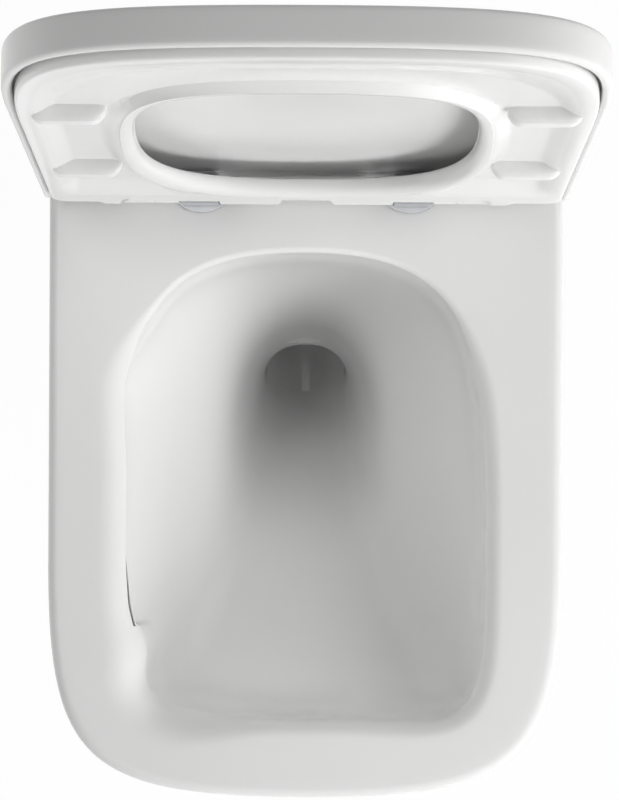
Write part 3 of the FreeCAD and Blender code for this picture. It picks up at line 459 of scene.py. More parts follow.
slot = ease(*SLOT_OPENS, mouth_y) * (pan_u <= ledge_u)
crack = ease(*CRACK_STARTS, mouth_y)
lip_angle = np.radians(LIP_ANGLES[0] + (LIP_ANGLES[1] - LIP_ANGLES[0]) * ease(*LIP_TURNS, mouth_y))


def bowl_place(depth):
    """Place along the bowl's wall that lies at a depth below the rim."""
    return np.interp(depth, RIM_Z - rings[:len(BOWL_PROFILE), 1], travel[:len(BOWL_PROFILE)])


def bowl_ring(at, wall):
    """Ring of the bowl or throat at a place along its depth for each column, grown by a wall."""
    values = smooth_through(travel, rings, np.broadcast_to(at, columns).astype(float))
    rear = values[:, 0:2]
    front = values[:, 2:4]
    length = np.linalg.norm(rear - front, axis=1)
    flat = oval_points(bowl_v, values[:, 4] + wall, length + wall, np.full(columns, -float(wall)),
                       length * (1 - values[:, 5]), values[:, 6], values[:, 7])
    lean = (rear - front) / length[:, None]
    return np.column_stack((flat[:, 0], front + lean * flat[:, 1:2]))


def tube_rings(line, radius):
    """Rings of a round tube about a line in the middle plane, in step with the bowl's columns."""
    circle = oval_points(bowl_v, 1.0, 1.0, -1.0, 0.0, 2, 2)
    heading = np.gradient(line, axis=0)
    heading /= np.linalg.norm(heading, axis=1)[:, None]
    found = []
    for (y, z), (way_y, way_z) in zip(line, heading):
        found.append(np.column_stack((radius * circle[:, 0], y - way_z * radius * circle[:, 1],
                                      z + way_y * radius * circle[:, 1])))
    return found


def upright_ring(y, radius):
    circle = oval_points(bowl_v, radius, radius, -radius, 0.0, 2, 2)
    return np.column_stack((circle[:, 0], np.full(columns, y), OUTLET_Z + circle[:, 1]))


def edge_roll(radius, rows):
    """Inset and drop of rows round a rounded edge, from its foot to its crest."""
    angles = np.linspace(0, math.pi / 2, rows)
    return [(radius * (1 - math.cos(angle)), radius * (1 - math.sin(angle))) for angle in angles]


def between(start, end, rows):
    """Values that go evenly from a start, which is left out, to an end."""
    return [start + (end - start) * part for part in np.linspace(0, 1, rows + 1)[1:]]


FLOOR_ROWS = 6
BACK_ROWS = 35
# share of the way down the bowl with closer rows
CLOSE_ROWS_END = 0.3
pan_grid = Grid(columns)


def floor_rows(half_width, outline, z):
    """Flat rows that close the pan's foot from its rear edge forward."""
    steps = np.linalg.norm(np.diff(outline[on_shell], axis=0), axis=1)
    share = np.concatenate(([0], np.cumsum(steps))) / steps.sum()
    rear = np.zeros_like(outline)
    rear[on_shell] = run((-half_width, 0), (half_width, 0), share)
    found = []
    for part in even(FLOOR_ROWS):
        found.append(pan_grid.row(level(rear + (outline - rear) * part, z), on_shell))
    return found


foot = shell_inset(PAN_HEIGHT, FOOT_EDGE)
outside = floor_rows(foot[0], plan_points(pan_u, *foot), RIM_Z - PAN_HEIGHT)
shell_levels = [(PAN_HEIGHT - drop, inset) for inset, drop in reversed(edge_roll(FOOT_EDGE, rows=7))]
shell_levels += [(depth, 0.0) for depth in between(PAN_HEIGHT - FOOT_EDGE, RIM_BAND, rows=25)]
shell_levels += [(depth, 0.0) for depth in between(RIM_BAND, RIM_EDGE, rows=3)]
shell_levels += [(drop, inset) for inset, drop in edge_roll(RIM_EDGE, rows=8)[1:]]
for depth, inset in shell_levels:
    ring = level(plan_points(pan_u, *shell_inset(depth, inset)), RIM_Z - depth)
    outside.append(pan_grid.row(ring, on_shell if depth > 0 else None))
rim_start = plan_points(pan_u, *shell_inset(0, RIM_EDGE))
mouth_at = bowl_place(mouth_depth)
mouth_wall = bowl_ring(mouth_at, 0.0)
rim_end = mouth_wall[:, :2] + outward * (mouth_edge * math.cos(ROLL_END) - mouth_in)[:, None]
for points in between(rim_start, rim_end, rows=6):
    outside.append(pan_grid.row(level(points, RIM_Z)))


def mouth_row(out, drop):
    """Row round the bowl's mouth, set out from the foot of its roll and down from the rim."""
    return pan_grid.row(level(mouth_wall[:, :2] + outward * (out - mouth_in)[:, None], RIM_Z - drop))


def mouth_roll(angle):
    """How far a place on the roll lies out from its foot and down from the rim."""
    return mouth_edge * (math.cos(ROLL_END) - np.cos(angle)), mouth_edge * (1 - np.sin(angle))


lip_out, lip_drop = mouth_roll(lip_angle)
for angle in between(math.pi / 2, lip_angle, rows=8):
    outside.append(mouth_row(*mouth_roll(angle)))
slot_angles = between(lip_angle, ROLL_END, rows=len(SLOT_LINE))
for angle, (slot_out, slot_drop), (crack_out, crack_drop) in zip(slot_angles, SLOT_LINE, CRACK_LINE):
    out, drop = mouth_roll(angle)
    cut = slot if slot_drop < SLOT_LIP else slot_at(mouth_y)
    aside = slot_out + (crack_out - slot_out) * crack
    below = slot_drop + (crack_drop - slot_drop) * crack
    outside.append(mouth_row(out + cut * (lip_out + aside - out), drop + cut * (lip_drop + below - drop)))
slot_wall = lip_out + SLOT_LINE[-1][0] + (CRACK_LINE[-1][0] - SLOT_LINE[-1][0]) * crack
for part in between(0.0, CLOSE_ROWS_END, rows=15) + between(CLOSE_ROWS_END, 1.0, rows=33):
    ring = bowl_ring(mouth_at + (travel[-1] - mouth_at) * part, 0.0)
    depth = RIM_Z - ring[:, 2]
    moved = slot_at(ring[:, 1]) * slot_wall * (1 - ease(mouth_depth, SLOT_FOOT, depth))
    moved -= mouth_in * (1 - ease(mouth_depth, mouth_foot, depth))
    ring[:, :2] += outward * moved[:, None]
    outside.append(pan_grid.row(ring))
trap_line = rounded_line(TRAP_LINE, TRAP_BENDS, TRAP_STEP)


def trap_rows(radius, end_y, steps):
    """Rows of the trap as far as a place along y, then of its stepped end."""
    found = []
    for ring, point in zip(tube_rings(trap_line, radius), trap_line):
        if trap_line[0][0] < point[0] < end_y:
            found.append(pan_grid.row(ring))
    return found + [pan_grid.row(upright_ring(*step)) for step in steps]


outside += trap_rows(TRAP_BORE, SPIGOT_STEP_Y, ((SPIGOT_STEP_Y, TRAP_BORE), (SPIGOT_STEP_Y, SPIGOT_BORE),
                                                (SPIGOT_END_Y, SPIGOT_BORE)))

hollow_foot = shell_inset(PAN_HEIGHT - SHELL_WALL, SHELL_WALL)
inside = floor_rows(hollow_foot[0], plan_points(pan_u, *hollow_foot), RIM_Z - PAN_HEIGHT + SHELL_WALL)
for depth in np.linspace(PAN_HEIGHT - SHELL_WALL, RIM_DECK, len(shell_levels)):
    ring = level(plan_points(pan_u, *shell_inset(depth, SHELL_WALL)), RIM_Z - depth)
    inside.append(pan_grid.row(ring, on_shell if depth > RIM_DECK else None))
deck_start = plan_points(pan_u, *shell_inset(RIM_DECK, SHELL_WALL))
deck_at = bowl_place(RIM_DECK)
for points in between(deck_start, bowl_ring(deck_at, BOWL_WALL)[:, :2], rows=4):
    inside.append(pan_grid.row(level(points, RIM_Z - RIM_DECK)))
for at, wall in zip(between(deck_at, travel[-1], BACK_ROWS), between(BOWL_WALL, TRAP_WALL, BACK_ROWS)):
    inside.append(pan_grid.row(bowl_ring(at, wall)))
inside += trap_rows(TRAP_BORE + TRAP_WALL, COLLAR_FRONT_Y - COLLAR_ROOM,
                    ((COLLAR_FRONT_Y, COLLAR), (COLLAR_REAR_Y, COLLAR), (COLLAR_REAR_Y, SPIGOT),
                     (SPIGOT_END_Y, SPIGOT)))

last_shell = int(on_shell.sum()) - 1
wall_loops = []
for sheet in (outside, inside):
    pan_grid.join(sheet)
    upright = sheet[FLOOR_ROWS:FLOOR_ROWS + len(shell_levels)]
    loop = [row[0] for row in upright]
    loop += [upright[-1][column] for column in range(columns - 1, last_shell, -1)]
    loop += [row[last_shell] for row in reversed(upright)]
    loop += [sheet[0][column] for column in range(last_shell - 1, 0, -1)]
    wall_loops.append(loop)
pan_grid.bridge(*wall_loops)
pan_grid.bridge(list(outside[-1]), list(inside[-1]))
glaze = finish("white_glaze", dark=(0.8, 0.8, 0.795), light=(0.83, 0.83, 0.825), patch=5.0, rough=(0.1, 0.16),
               ripple=30.0, ripple_depth=0.00012, coat=0.1)
shown("ceramic_pan", pan_grid.mesh("ceramic_pan"), "pan", ("pan", "bowl", "sump", "trap"), glaze)

# Flush inlet and duct: part of the same casting, a boss that takes the flush pipe's seal and a duct that
# leads round behind the bowl to the slot under the ledge. Same glaze, left as cast behind the rim.


def dress(names, material):
    """Gives solids that are shown as they are their finish."""
    for name in names:
        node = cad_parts[name]
        node.data.materials.clear()
        node.data.materials.append(material)


def both(*names):
    return ["%s_%s" % (name, side) for name in names for side in ("left", "right")]


dress(("inlet_boss", "flush_duct"), glaze)

# Wall fixing: zinc plated steel angles on the wall studs with washers, nuts and side bolts.
# The side bolts pull the pan onto the angles from its sides and stay hidden once it hangs.
zinc = finish("zinc_plated_steel", dark=(0.5, 0.5, 0.52), light=(0.68, 0.68, 0.7), patch=55.0,
              rough=(0.28, 0.42), ripple=240.0, ripple_depth=0.00006, metal=1.0)
dress(both("wall_bracket", "stud_washer", "stud_nut", "side_bolt"), zinc)

# Side bushes and covers: turned nylon bushes in the pan's side holes and moulded white caps that snap
# into them and hide the bolts.
nylon = finish("natural_nylon", dark=(0.72, 0.71, 0.68), light=(0.8, 0.79, 0.76), patch=60.0,
               rough=(0.4, 0.55), ripple=300.0, ripple_depth=0.00005)
cover_white = finish("white_cover_plastic", dark=(0.86, 0.86, 0.855), light=(0.89, 0.89, 0.885), patch=20.0,
                     rough=(0.12, 0.2), ripple=160.0, ripple_depth=0.00004)
dress(both("side_bush"), nylon)
dress(both("side_cover"), cover_white)

# Hinge feet: cast and chromed discs and posts that screw down through the deck into rubber sleeves, which
# swell behind the ceramic as the brass nuts are drawn up.
chrome = finish("polished_chrome", dark=(0.5, 0.51, 0.53), light=(0.6, 0.61, 0.63), patch=35.0,
                rough=(0.08, 0.16), ripple=400.0, ripple_depth=0.00001, metal=1.0)
black_rubber = finish("black_rubber", dark=(0.02, 0.02, 0.02), light=(0.045, 0.045, 0.045), patch=120.0,
                      rough=(0.6, 0.8), ripple=500.0, ripple_depth=0.00008)
brass = finish("turned_brass", dark=(0.62, 0.47, 0.2), light=(0.78, 0.62, 0.32), patch=80.0,
               rough=(0.22, 0.35), ripple=300.0, ripple_depth=0.00003, metal=1.0, stretch=(1, 1, 6))
dress(both("hinge_disc", "hinge_post"), chrome)
dress(both("hinge_gasket", "expansion_sleeve"), black_rubber)
dress(both("sleeve_nut"), brass)
dress(both("hinge_pin", "hinge_screw"), zinc)

# Seat ring: moulded from one hard white plastic with a rounded top, a softly hollowed underside and a bead
# round its hole. Two ears at its rear turn on the hinge pins, with a thin flange between them.
HINGE_Y = -85.0
HINGE_Z = 96.0
OPEN_ANGLE = 97.5
SEAT_HALF_WIDTH = 175.0
SEAT_REAR_Y = -88.0
SEAT_FRONT_Y = -504.0
SEAT_CORNER = 12.0
SEAT_LEAST_CORNER = 2.0
SEAT_FOOT_Z = 84.0
SEAT_TOP_Z = 97.0
SEAT_TOP_EDGE = 6.0
SEAT_FOOT_EDGE = 2.0
SEAT_HOLE = (108.0, -119.0, -413.0)
SEAT_MIDDLE_Y = -262.0
HOLE_POWERS = (2.8, 3.2)
HOLE_TOP_EDGE = 5.0
HOLE_FOOT_EDGE = 7.0
HOLE_BEAD = 9.0
BEAD_STEP = 0.7
SEAT_BAND = 9.0
# hollow of the underside: its depth, the ring widths over which it deepens and the places along y between
# which it comes in at the rear and takes its front form
SEAT_HOLLOW = 6.5
HOLLOW_WIDTHS = (12.0, 46.0)
HOLLOW_REAR = (-118.0, -150.0)
HOLLOW_FRONT = (-330.0, -400.0)
# width of its slope from the bead and to the outer band, at the sides and at the front
HOLLOW_RISE = (14.0, 5.0)
HOLLOW_FALL = (18.0, 48.0)
# shares of the way across the underside, close together at the bead
UNDER_PARTS = (0.0, 0.008, *np.linspace(0.03, 1, 28))
UNDER_LAP = 1.0
NOTCH_MOUTH = 19.0
NOTCH_FLOOR = 16.5
NOTCH_DEPTH = 15.0
NOTCH_COLUMNS = (NOTCH_MOUTH + 1, NOTCH_MOUTH, NOTCH_FLOOR, NOTCH_FLOOR - 1, 12.0, 8.0, 4.0)
BESIDE_NOTCH = 23.0
POCKET_SIDES = (59.5, 60.0, 127.5, 128.0)
POCKET_DEPTH = 10.0
SHOULDER_SIDES = (139.0, 142.0)
SHOULDER_DEPTH = 7.0
SHOULDER_STARTS_Y = -200.0
swing_open = (Matrix.Translation((0, HINGE_Y * MM, HINGE_Z * MM))
              @ Matrix.Rotation(math.radians(-OPEN_ANGLE), 4, "X")
              @ Matrix.Translation((0, -HINGE_Y * MM, -HINGE_Z * MM)))

seat_rear_flat = SEAT_HALF_WIDTH - SEAT_CORNER
half_rear = (*np.linspace(seat_rear_flat, BESIDE_NOTCH, num=22), *POCKET_SIDES, *SHOULDER_SIDES,
             *NOTCH_COLUMNS)
half_rear = np.sort(half_rear)[::-1]
rear_x = np.concatenate((half_rear, (0.0,), -half_rear[::-1]))
seat_sides = even(count=52)
seat_fronts = even(count=60)
seat_corners = even(count=7)
seat_u = np.concatenate((seat_sides, 1 + seat_fronts, 2 + seat_fronts, 3 + seat_sides, 4 + seat_corners,
                         5 + (seat_rear_flat - rear_x) / (2 * seat_rear_flat), 6 + seat_corners[1:]))


def seat_edge(inset):
    """Outer edge of the seat drawn in by an inset, with notch, hinge pockets and shoulders in its rear."""
    edge = plan_points(seat_u, SEAT_HALF_WIDTH - inset, SEAT_REAR_Y - inset, SEAT_FRONT_Y + inset,
                       max(SEAT_CORNER - inset, SEAT_LEAST_CORNER))
    reach = np.abs(edge[:, 0])
    at_rear = (seat_u >= 5) & (seat_u <= 6)
    cut = NOTCH_DEPTH * np.clip((NOTCH_MOUTH - reach) / (NOTCH_MOUTH - NOTCH_FLOOR), 0, 1)
    cut += POCKET_DEPTH * np.interp(reach, POCKET_SIDES, (0, 1, 1, 0))
    cut += SHOULDER_DEPTH * np.interp(reach, SHOULDER_SIDES, (0, 1))
    edge[at_rear, 1] -= cut[at_rear]
    edge[(seat_u > 4) & ~at_rear, 1] -= SHOULDER_DEPTH
    on_side = (seat_u < 1) | ((seat_u >= 3) & (seat_u <= 4))
    drawn = ease(SHOULDER_STARTS_Y, SEAT_REAR_Y - SEAT_CORNER, edge[on_side, 1])
    edge[on_side, 1] -= SHOULDER_DEPTH * drawn
    return edge


seat_outline = plan_points(seat_u, SEAT_HALF_WIDTH, SEAT_REAR_Y, SEAT_FRONT_Y, SEAT_CORNER)
hole_v = facing_places(seat_outline, SEAT_MIDDLE_Y, (*SEAT_HOLE, SEAT_MIDDLE_Y, *HOLE_POWERS))


def hole_edge(grow):
    half_width, rear, front = SEAT_HOLE
    return oval_points(hole_v, half_width + grow, rear + grow, front - grow, SEAT_MIDDLE_Y, *HOLE_POWERS)


seat_grid = Grid(len(seat_u))
seat_rows = []


def seat_row(points, z):
    seat_rows.append(seat_grid.row(level(points, z)))


for inset, lift in reversed(edge_roll(SEAT_FOOT_EDGE, rows=5)):
    seat_row(seat_edge(inset), SEAT_FOOT_Z + lift)
for z in between(SEAT_FOOT_Z + SEAT_FOOT_EDGE, SEAT_TOP_Z - SEAT_TOP_EDGE, rows=3):
    seat_row(seat_edge(0.0), z)
for inset, drop in edge_roll(SEAT_TOP_EDGE, rows=8)[1:]:
    seat_row(seat_edge(inset), SEAT_TOP_Z - drop)
for points in between(seat_edge(SEAT_TOP_EDGE), hole_edge(HOLE_TOP_EDGE), rows=7):
    seat_row(points, SEAT_TOP_Z)
for grow, drop in reversed(edge_roll(HOLE_TOP_EDGE, rows=8)[:-1]):
    seat_row(hole_edge(grow), SEAT_TOP_Z - drop)
for grow, lift in edge_roll(HOLE_FOOT_EDGE, rows=7):
    seat_row(hole_edge(grow), SEAT_FOOT_Z + lift)
under_inner = hole_edge(HOLE_BEAD)
under_outer = plan_points(seat_u, SEAT_HALF_WIDTH - SEAT_BAND, SEAT_REAR_Y - POCKET_DEPTH - SEAT_BAND,
                          SEAT_FRONT_Y + SEAT_BAND, SEAT_CORNER)
ring_width = np.linalg.norm(under_outer - under_inner, axis=1)
hollow_depth = SEAT_HOLLOW * ease(*HOLLOW_WIDTHS, ring_width)
at_front = ease(*HOLLOW_FRONT, under_inner[:, 1])
rise = HOLLOW_RISE[0] + (HOLLOW_RISE[1] - HOLLOW_RISE[0]) * at_front
fall = HOLLOW_FALL[0] + (HOLLOW_FALL[1] - HOLLOW_FALL[0]) * at_front
for part in UNDER_PARTS:
    place = under_inner + (under_outer - under_inner) * part
    across = ring_width * part
    depth = hollow_depth * ease(0, rise, across) * (1 - ease(ring_width - fall, ring_width, across))
    depth = np.minimum(depth + BEAD_STEP * (0 < part < 1), hollow_depth)
    seat_row(place, SEAT_FOOT_Z + depth * ease(*HOLLOW_REAR, place[:, 1]))
seat_row(seat_edge(SEAT_FOOT_EDGE + UNDER_LAP), SEAT_FOOT_Z)
seat_grid.join(seat_rows, closed=True)

BLOCK_EDGE = 1.2
EAR_RADIUS = 10.0
EAR_BORE = 7.0
EAR_SIDES = 40
WEB_REACH = 8.0
WEB_ROOM = 0.5


def block(low, high):
    """Adds a block with softened edges to a moulding."""

    def add(shape):
        size = [abs(end - start) * MM for start, end in zip(low, high)]
        middle = [(start + end) / 2 * MM for start, end in zip(low, high)]
        place = Matrix.Translation(middle) @ Matrix.Diagonal((*size, 1))
        lump = bmesh.new()
        bmesh.ops.create_cube(lump, size=1, matrix=place)
        bmesh.ops.bevel(lump, geom=lump.edges[:], offset=BLOCK_EDGE * MM, segments=3, affect="EDGES")
        data = bpy.data.meshes.new("block")
        lump.to_mesh(data)
        lump.free()
        shape.from_mesh(data)
        bpy.data.meshes.remove(data)

    return add


def hinge_ear(x_start, x_end, web_low, web_high):
    """Adds a bored ear on the hinge line and the web that ties it to its moulding."""

    def add(shape):
        rings = []
        for radius, x in ((EAR_RADIUS, x_start), (EAR_RADIUS, x_end), (EAR_BORE, x_end), (EAR_BORE, x_start)):
            ring = []
            for side in range(EAR_SIDES):
                angle = 2 * math.pi * side / EAR_SIDES
                ring.append(shape.verts.new((x * MM, (HINGE_Y + radius * math.cos(angle)) * MM,
                                             (HINGE_Z + radius * math.sin(angle)) * MM)))
            rings.append(ring)
        faces = []
        for ring, other in zip(rings, rings[1:] + rings[:1]):
            for side in range(EAR_SIDES):
                after = (side + 1) % EAR_SIDES
                faces.append(shape.faces.new((ring[side], ring[after], other[after], other[side])))
        bmesh.ops.recalc_face_normals(shape, faces=faces)
        block((x_start, *web_low), (x_end, *web_high))(shape)

    return add


def ear_pair(ends, web):
    return [hinge_ear(side * ends[0], side * ends[1], *web) for side in (-1, 1)]


SEAT_EARS = (88.5, 104.0)
SEAT_WEB_Z = (86.0, 101.0)
FLANGE_HALF_WIDTH = 48.0
FLANGE_Z = (94.5, 96.8)
FLANGE_LAP = 1.0
FLANGE_REACH = 11.0
seat_web = ((SEAT_REAR_Y - POCKET_DEPTH - WEB_REACH, SEAT_WEB_Z[0]),
            (HINGE_Y - EAR_BORE - WEB_ROOM, SEAT_WEB_Z[1]))
seat_flange = block((-FLANGE_HALF_WIDTH, SEAT_REAR_Y - NOTCH_DEPTH - FLANGE_LAP, FLANGE_Z[0]),
                    (FLANGE_HALF_WIDTH, HINGE_Y + FLANGE_REACH, FLANGE_Z[1]))
seat_extras = ear_pair(SEAT_EARS, seat_web) + [seat_flange]
seat_white = finish("white_seat_plastic", dark=(0.84, 0.84, 0.835), light=(0.87, 0.87, 0.865), patch=7.0,
                    rough=(0.16, 0.24), ripple=90.0, ripple_depth=0.00005)
shown("seat_ring", seat_grid.mesh("seat_ring", seat_extras, swing_open), "seat", ("seat",),
      seat_white)

# Seat buffers: four moulded rubber pads with rounded ends, pushed into the seat's underside by their stems,
# that keep it off the ceramic.
BUFFER_SIZE = (48.0, 12.0, 11.0)
BUFFER_END = 10.0
BUFFER_X = 144.5
BUFFER_FROM_HINGE = (115.0, 272.0)
BUFFER_FOOT_Z = 80.3
BUFFER_PLACES = (65, 9, 9)
# the foot narrows by this share, all of it close to the end of the pad's height
FOOT_TAPER = 0.16
FOOT_TAPER_POWER = 8.0
# how the width follows the rounded ends, and a start just over 1 that keeps their root above 0
END_POWER = 0.5
END_START = 1.002
pad_white = finish("white_buffer_rubber", dark=(0.82, 0.82, 0.815), light=(0.86, 0.86, 0.855), patch=90.0,
                   rough=(0.4, 0.55), ripple=420.0, ripple_depth=0.00004)
pad_tree = bpy.data.node_groups.new("buffer_row", "GeometryNodeTree")
pad_tree.interface.new_socket("Geometry", in_out="OUTPUT", socket_type="NodeSocketGeometry")
pad_inputs = {}
for label, kind, value in (("Pad size", "NodeSocketVector", tuple(size * MM for size in BUFFER_SIZE)),
                           ("Row start", "NodeSocketVector", (0, 0, 0)),
                           ("Row step", "NodeSocketVector", (0, 0, 0)),
                           ("End length", "NodeSocketFloat", BUFFER_END * MM),
                           ("Rubber", "NodeSocketMaterial", pad_white)):
    socket = pad_tree.interface.new_socket(label, in_out="INPUT", socket_type=kind)
    socket.default_value = value
    pad_inputs[label] = socket.identifier
pad_node = pad_tree.nodes.new
tie = pad_tree.links.new
source = pad_node("NodeGroupInput")
result = pad_node("NodeGroupOutput")
row_line = pad_node("GeometryNodeMeshLine")
row_line.mode = "OFFSET"
row_line.inputs["Count"].default_value = len(BUFFER_FROM_HINGE)
pad_block = pad_node("GeometryNodeMeshCube")
for way, count in zip("XYZ", BUFFER_PLACES):
    pad_block.inputs["Vertices " + way].default_value = count
pad_round = pad_node("GeometryNodeSetPosition")
pad_copies = pad_node("GeometryNodeInstanceOnPoints")
pad_real = pad_node("GeometryNodeRealizeInstances")
pad_smooth = pad_node("GeometryNodeSetShadeSmooth")
pad_paint = pad_node("GeometryNodeSetMaterial")


def pad_sum(kind, one, two=None):
    """Arithmetic on sockets and numbers in the pad's tree."""
    node = pad_node("ShaderNodeMath")
    node.operation = kind
    for socket, value in zip(node.inputs, (one, two)):
        if isinstance(value, (int, float)):
            socket.default_value = value
        elif value is not None:
            tie(value, socket)
    return node.outputs[0]


pad_place = pad_node("GeometryNodeInputPosition")
pad_axes = pad_node("ShaderNodeSeparateXYZ")
pad_reach = pad_node("ShaderNodeSeparateXYZ")
pad_shape = pad_node("ShaderNodeCombineXYZ")
tie(pad_place.outputs["Position"], pad_axes.inputs[0])
tie(source.outputs["Pad size"], pad_reach.inputs[0])
end_length = source.outputs["End length"]
half_length = pad_sum("MULTIPLY", pad_reach.outputs["X"], 0.5)
past_end = pad_sum("SUBTRACT", pad_sum("ABSOLUTE", pad_axes.outputs["X"]), half_length)
past_end = pad_sum("DIVIDE", pad_sum("ADD", past_end, end_length), end_length)
past_end = pad_sum("MAXIMUM", past_end, 0.0)
swell = pad_sum("SQRT", pad_sum("SUBTRACT", END_START, pad_sum("MULTIPLY", past_end, past_end)))
root = pad_sum("MULTIPLY", pad_reach.outputs["Z"], 0.5)
stand = pad_sum("SUBTRACT", root, pad_axes.outputs["Z"])
to_foot = pad_sum("POWER", pad_sum("DIVIDE", stand, pad_reach.outputs["Z"]), FOOT_TAPER_POWER)
narrowed = pad_sum("SUBTRACT", 1.0, pad_sum("MULTIPLY", to_foot, FOOT_TAPER))
narrowed = pad_sum("MULTIPLY", narrowed, pad_sum("POWER", swell, END_POWER))
tie(pad_axes.outputs["X"], pad_shape.inputs["X"])
tie(pad_sum("MULTIPLY", pad_axes.outputs["Y"], narrowed), pad_shape.inputs["Y"])
tie(pad_sum("SUBTRACT", root, pad_sum("MULTIPLY", stand, swell)), pad_shape.inputs["Z"])
tie(pad_shape.outputs[0], pad_round.inputs["Position"])
tie(source.outputs["Row start"], row_line.inputs["Start Location"])
tie(source.outputs["Row step"], row_line.inputs["Offset"])
tie(source.outputs["Pad size"], pad_block.inputs["Size"])
tie(pad_block.outputs["Mesh"], pad_round.inputs["Geometry"])
tie(row_line.outputs["Mesh"], pad_copies.inputs["Points"])
tie(pad_round.outputs["Geometry"], pad_copies.inputs["Instance"])
tie(pad_copies.outputs["Instances"], pad_real.inputs["Geometry"])
tie(pad_real.outputs["Geometry"], pad_smooth.inputs["Geometry"])
tie(pad_smooth.outputs["Geometry"], pad_paint.inputs["Geometry"])
tie(source.outputs["Rubber"], pad_paint.inputs["Material"])
tie(pad_paint.outputs["Geometry"], result.inputs["Geometry"])
for side, word in ((-1, "left"), (1, "right")):
    row = bpy.data.objects.new("buffer_row", bpy.data.meshes.new("buffer_row"))
    bpy.context.scene.collection.objects.link(row)
    modifier = row.modifiers.new("buffers", "NODES")
    modifier.node_group = pad_tree
    modifier[pad_inputs["Row start"]] = (side * BUFFER_X * MM, (HINGE_Y - BUFFER_FROM_HINGE[0]) * MM,
                                         (BUFFER_FOOT_Z + BUFFER_SIZE[2] / 2) * MM)
    modifier[pad_inputs["Row step"]] = (0, (BUFFER_FROM_HINGE[0] - BUFFER_FROM_HINGE[1]) * MM, 0)
    seen = row.evaluated_get(bpy.context.evaluated_depsgraph_get())
    pads = bpy.data.meshes.new_from_object(seen)
    bpy.data.objects.remove(row)
    pads.name = "seat_buffers_" + word
    pads.transform(swing_open)
    pads.set_sharp_from_angle(angle=SHARP_ANGLE)
    shown("seat_buffers_" + word, pads, "seat",
          ("seat_buffer_rear_" + word, "seat_buffer_front_" + word), pad_white)

# Dampers and bushes: moulded grey dampers, whose oil slows the fall, sit in one ear of the seat and one of
# the lid. Plain nylon bushes fill the other two ears, and all four turn on the hinge pins.
damper_grey = finish("grey_damper_plastic", dark=(0.16, 0.16, 0.17), light=(0.21, 0.21, 0.22), patch=70.0,
                     rough=(0.4, 0.55), ripple=350.0, ripple_depth=0.00005)
dress(("seat_damper", "lid_damper"), damper_grey)
dress(("seat_bush", "lid_bush"), nylon)

# Lid: moulded from the same kind of plastic as the seat, a flat plate with a skirt that wraps the seat at its
# sides and front. Its two ears share the hinge pins with the seat's.
LID_HALF_WIDTH = 182.5
LID_REAR_Y = -76.0
LID_FRONT_Y = -511.5
LID_CORNER = 6.0
LID_LEAST_CORNER = 1.0
LID_FOOT_Z = 89.5
LID_TOP_Z = 113.5
LID_PLATE = 4.5
LID_SKIRT = 6.2
LID_EDGE = 3.0
LID_INNER_EDGE = 4.0
LID_MIDDLE = np.array((0.0, -300.0))
LID_EARS = (104.5, 124.5)
# places along the outline between which the skirt runs out towards the rear and comes back
SKIRT_ENDS = (4.1, 4.9)
SKIRT_STARTS = (6.1, 6.9)
# shares of the way from the middle of the plate to its edge
PLATE_PARTS = np.linspace(0.1, 1, 8)
lid_sides = even(count=44)
lid_corners = even(count=8)
lid_u = np.concatenate((lid_sides, 1 + seat_fronts, 2 + seat_fronts, 3 + lid_sides, 4 + lid_corners,
                        5 + even(count=40), 6 + lid_corners))
lid_ceiling = LID_TOP_Z - LID_PLATE
skirt_round = LID_SKIRT / 2
at_rear = ease(*SKIRT_ENDS, lid_u) * (1 - ease(*SKIRT_STARTS, lid_u))
skirt_foot = LID_FOOT_Z + (lid_ceiling - skirt_round - LID_FOOT_Z) * at_rear
skirt_low = skirt_foot + skirt_round


def lid_edge(inset):
    return plan_points(lid_u, LID_HALF_WIDTH - inset, LID_REAR_Y - inset, LID_FRONT_Y + inset,
                       max(LID_CORNER - inset, LID_LEAST_CORNER))


lid_grid = Grid(len(lid_u))
lid_rows = []


def lid_row(points, z):
    lid_rows.append(lid_grid.row(level(points, z)))


for part in PLATE_PARTS:
    lid_row(LID_MIDDLE + (lid_edge(LID_EDGE) - LID_MIDDLE) * part, LID_TOP_Z)
for inset, drop in reversed(edge_roll(LID_EDGE, rows=6)[:-1]):
    lid_row(lid_edge(inset), LID_TOP_Z - drop)
for z in between(LID_TOP_Z - LID_EDGE, skirt_low, rows=5):
    lid_row(lid_edge(0.0), z)
for angle in between(0.0, math.pi, rows=8):
    lid_row(lid_edge(skirt_round * (1 - math.cos(angle))), skirt_foot + skirt_round * (1 - math.sin(angle)))
inner_top = np.maximum(lid_ceiling - LID_INNER_EDGE, skirt_low)
for z in between(skirt_low, inner_top, rows=4):
    lid_row(lid_edge(LID_SKIRT), z)
for angle in between(0.0, math.pi / 2, rows=5):
    lid_row(lid_edge(LID_SKIRT + LID_INNER_EDGE * (1 - math.cos(angle))),
            inner_top + (lid_ceiling - inner_top) * math.sin(angle))
for part in PLATE_PARTS[-2::-1]:
    lid_row(LID_MIDDLE + (lid_edge(LID_SKIRT + LID_INNER_EDGE) - LID_MIDDLE) * part, lid_ceiling)
lid_grid.join(lid_rows)
lid_grid.pole(lid_rows[0], (*LID_MIDDLE, LID_TOP_Z))
lid_grid.pole(lid_rows[-1], (*LID_MIDDLE, lid_ceiling))
lid_web = ((HINGE_Y - WEB_REACH, HINGE_Z + EAR_BORE + WEB_ROOM), (HINGE_Y + WEB_REACH, LID_TOP_Z - LID_EDGE))
lid_ears = ear_pair(LID_EARS, lid_web)
# Painted shade: the lid is the same plastic as the seat, but its tone is set a little darker than the seat's
# to take some of the light off the lid.
lid_white_painted_shade = finish("white_lid_plastic_painted_shade", dark=(0.79, 0.79, 0.785), light=(0.82, 0.82, 0.815), patch=7.0,
                   rough=(0.14, 0.22), ripple=90.0, ripple_depth=0.00005, specular=0.15)
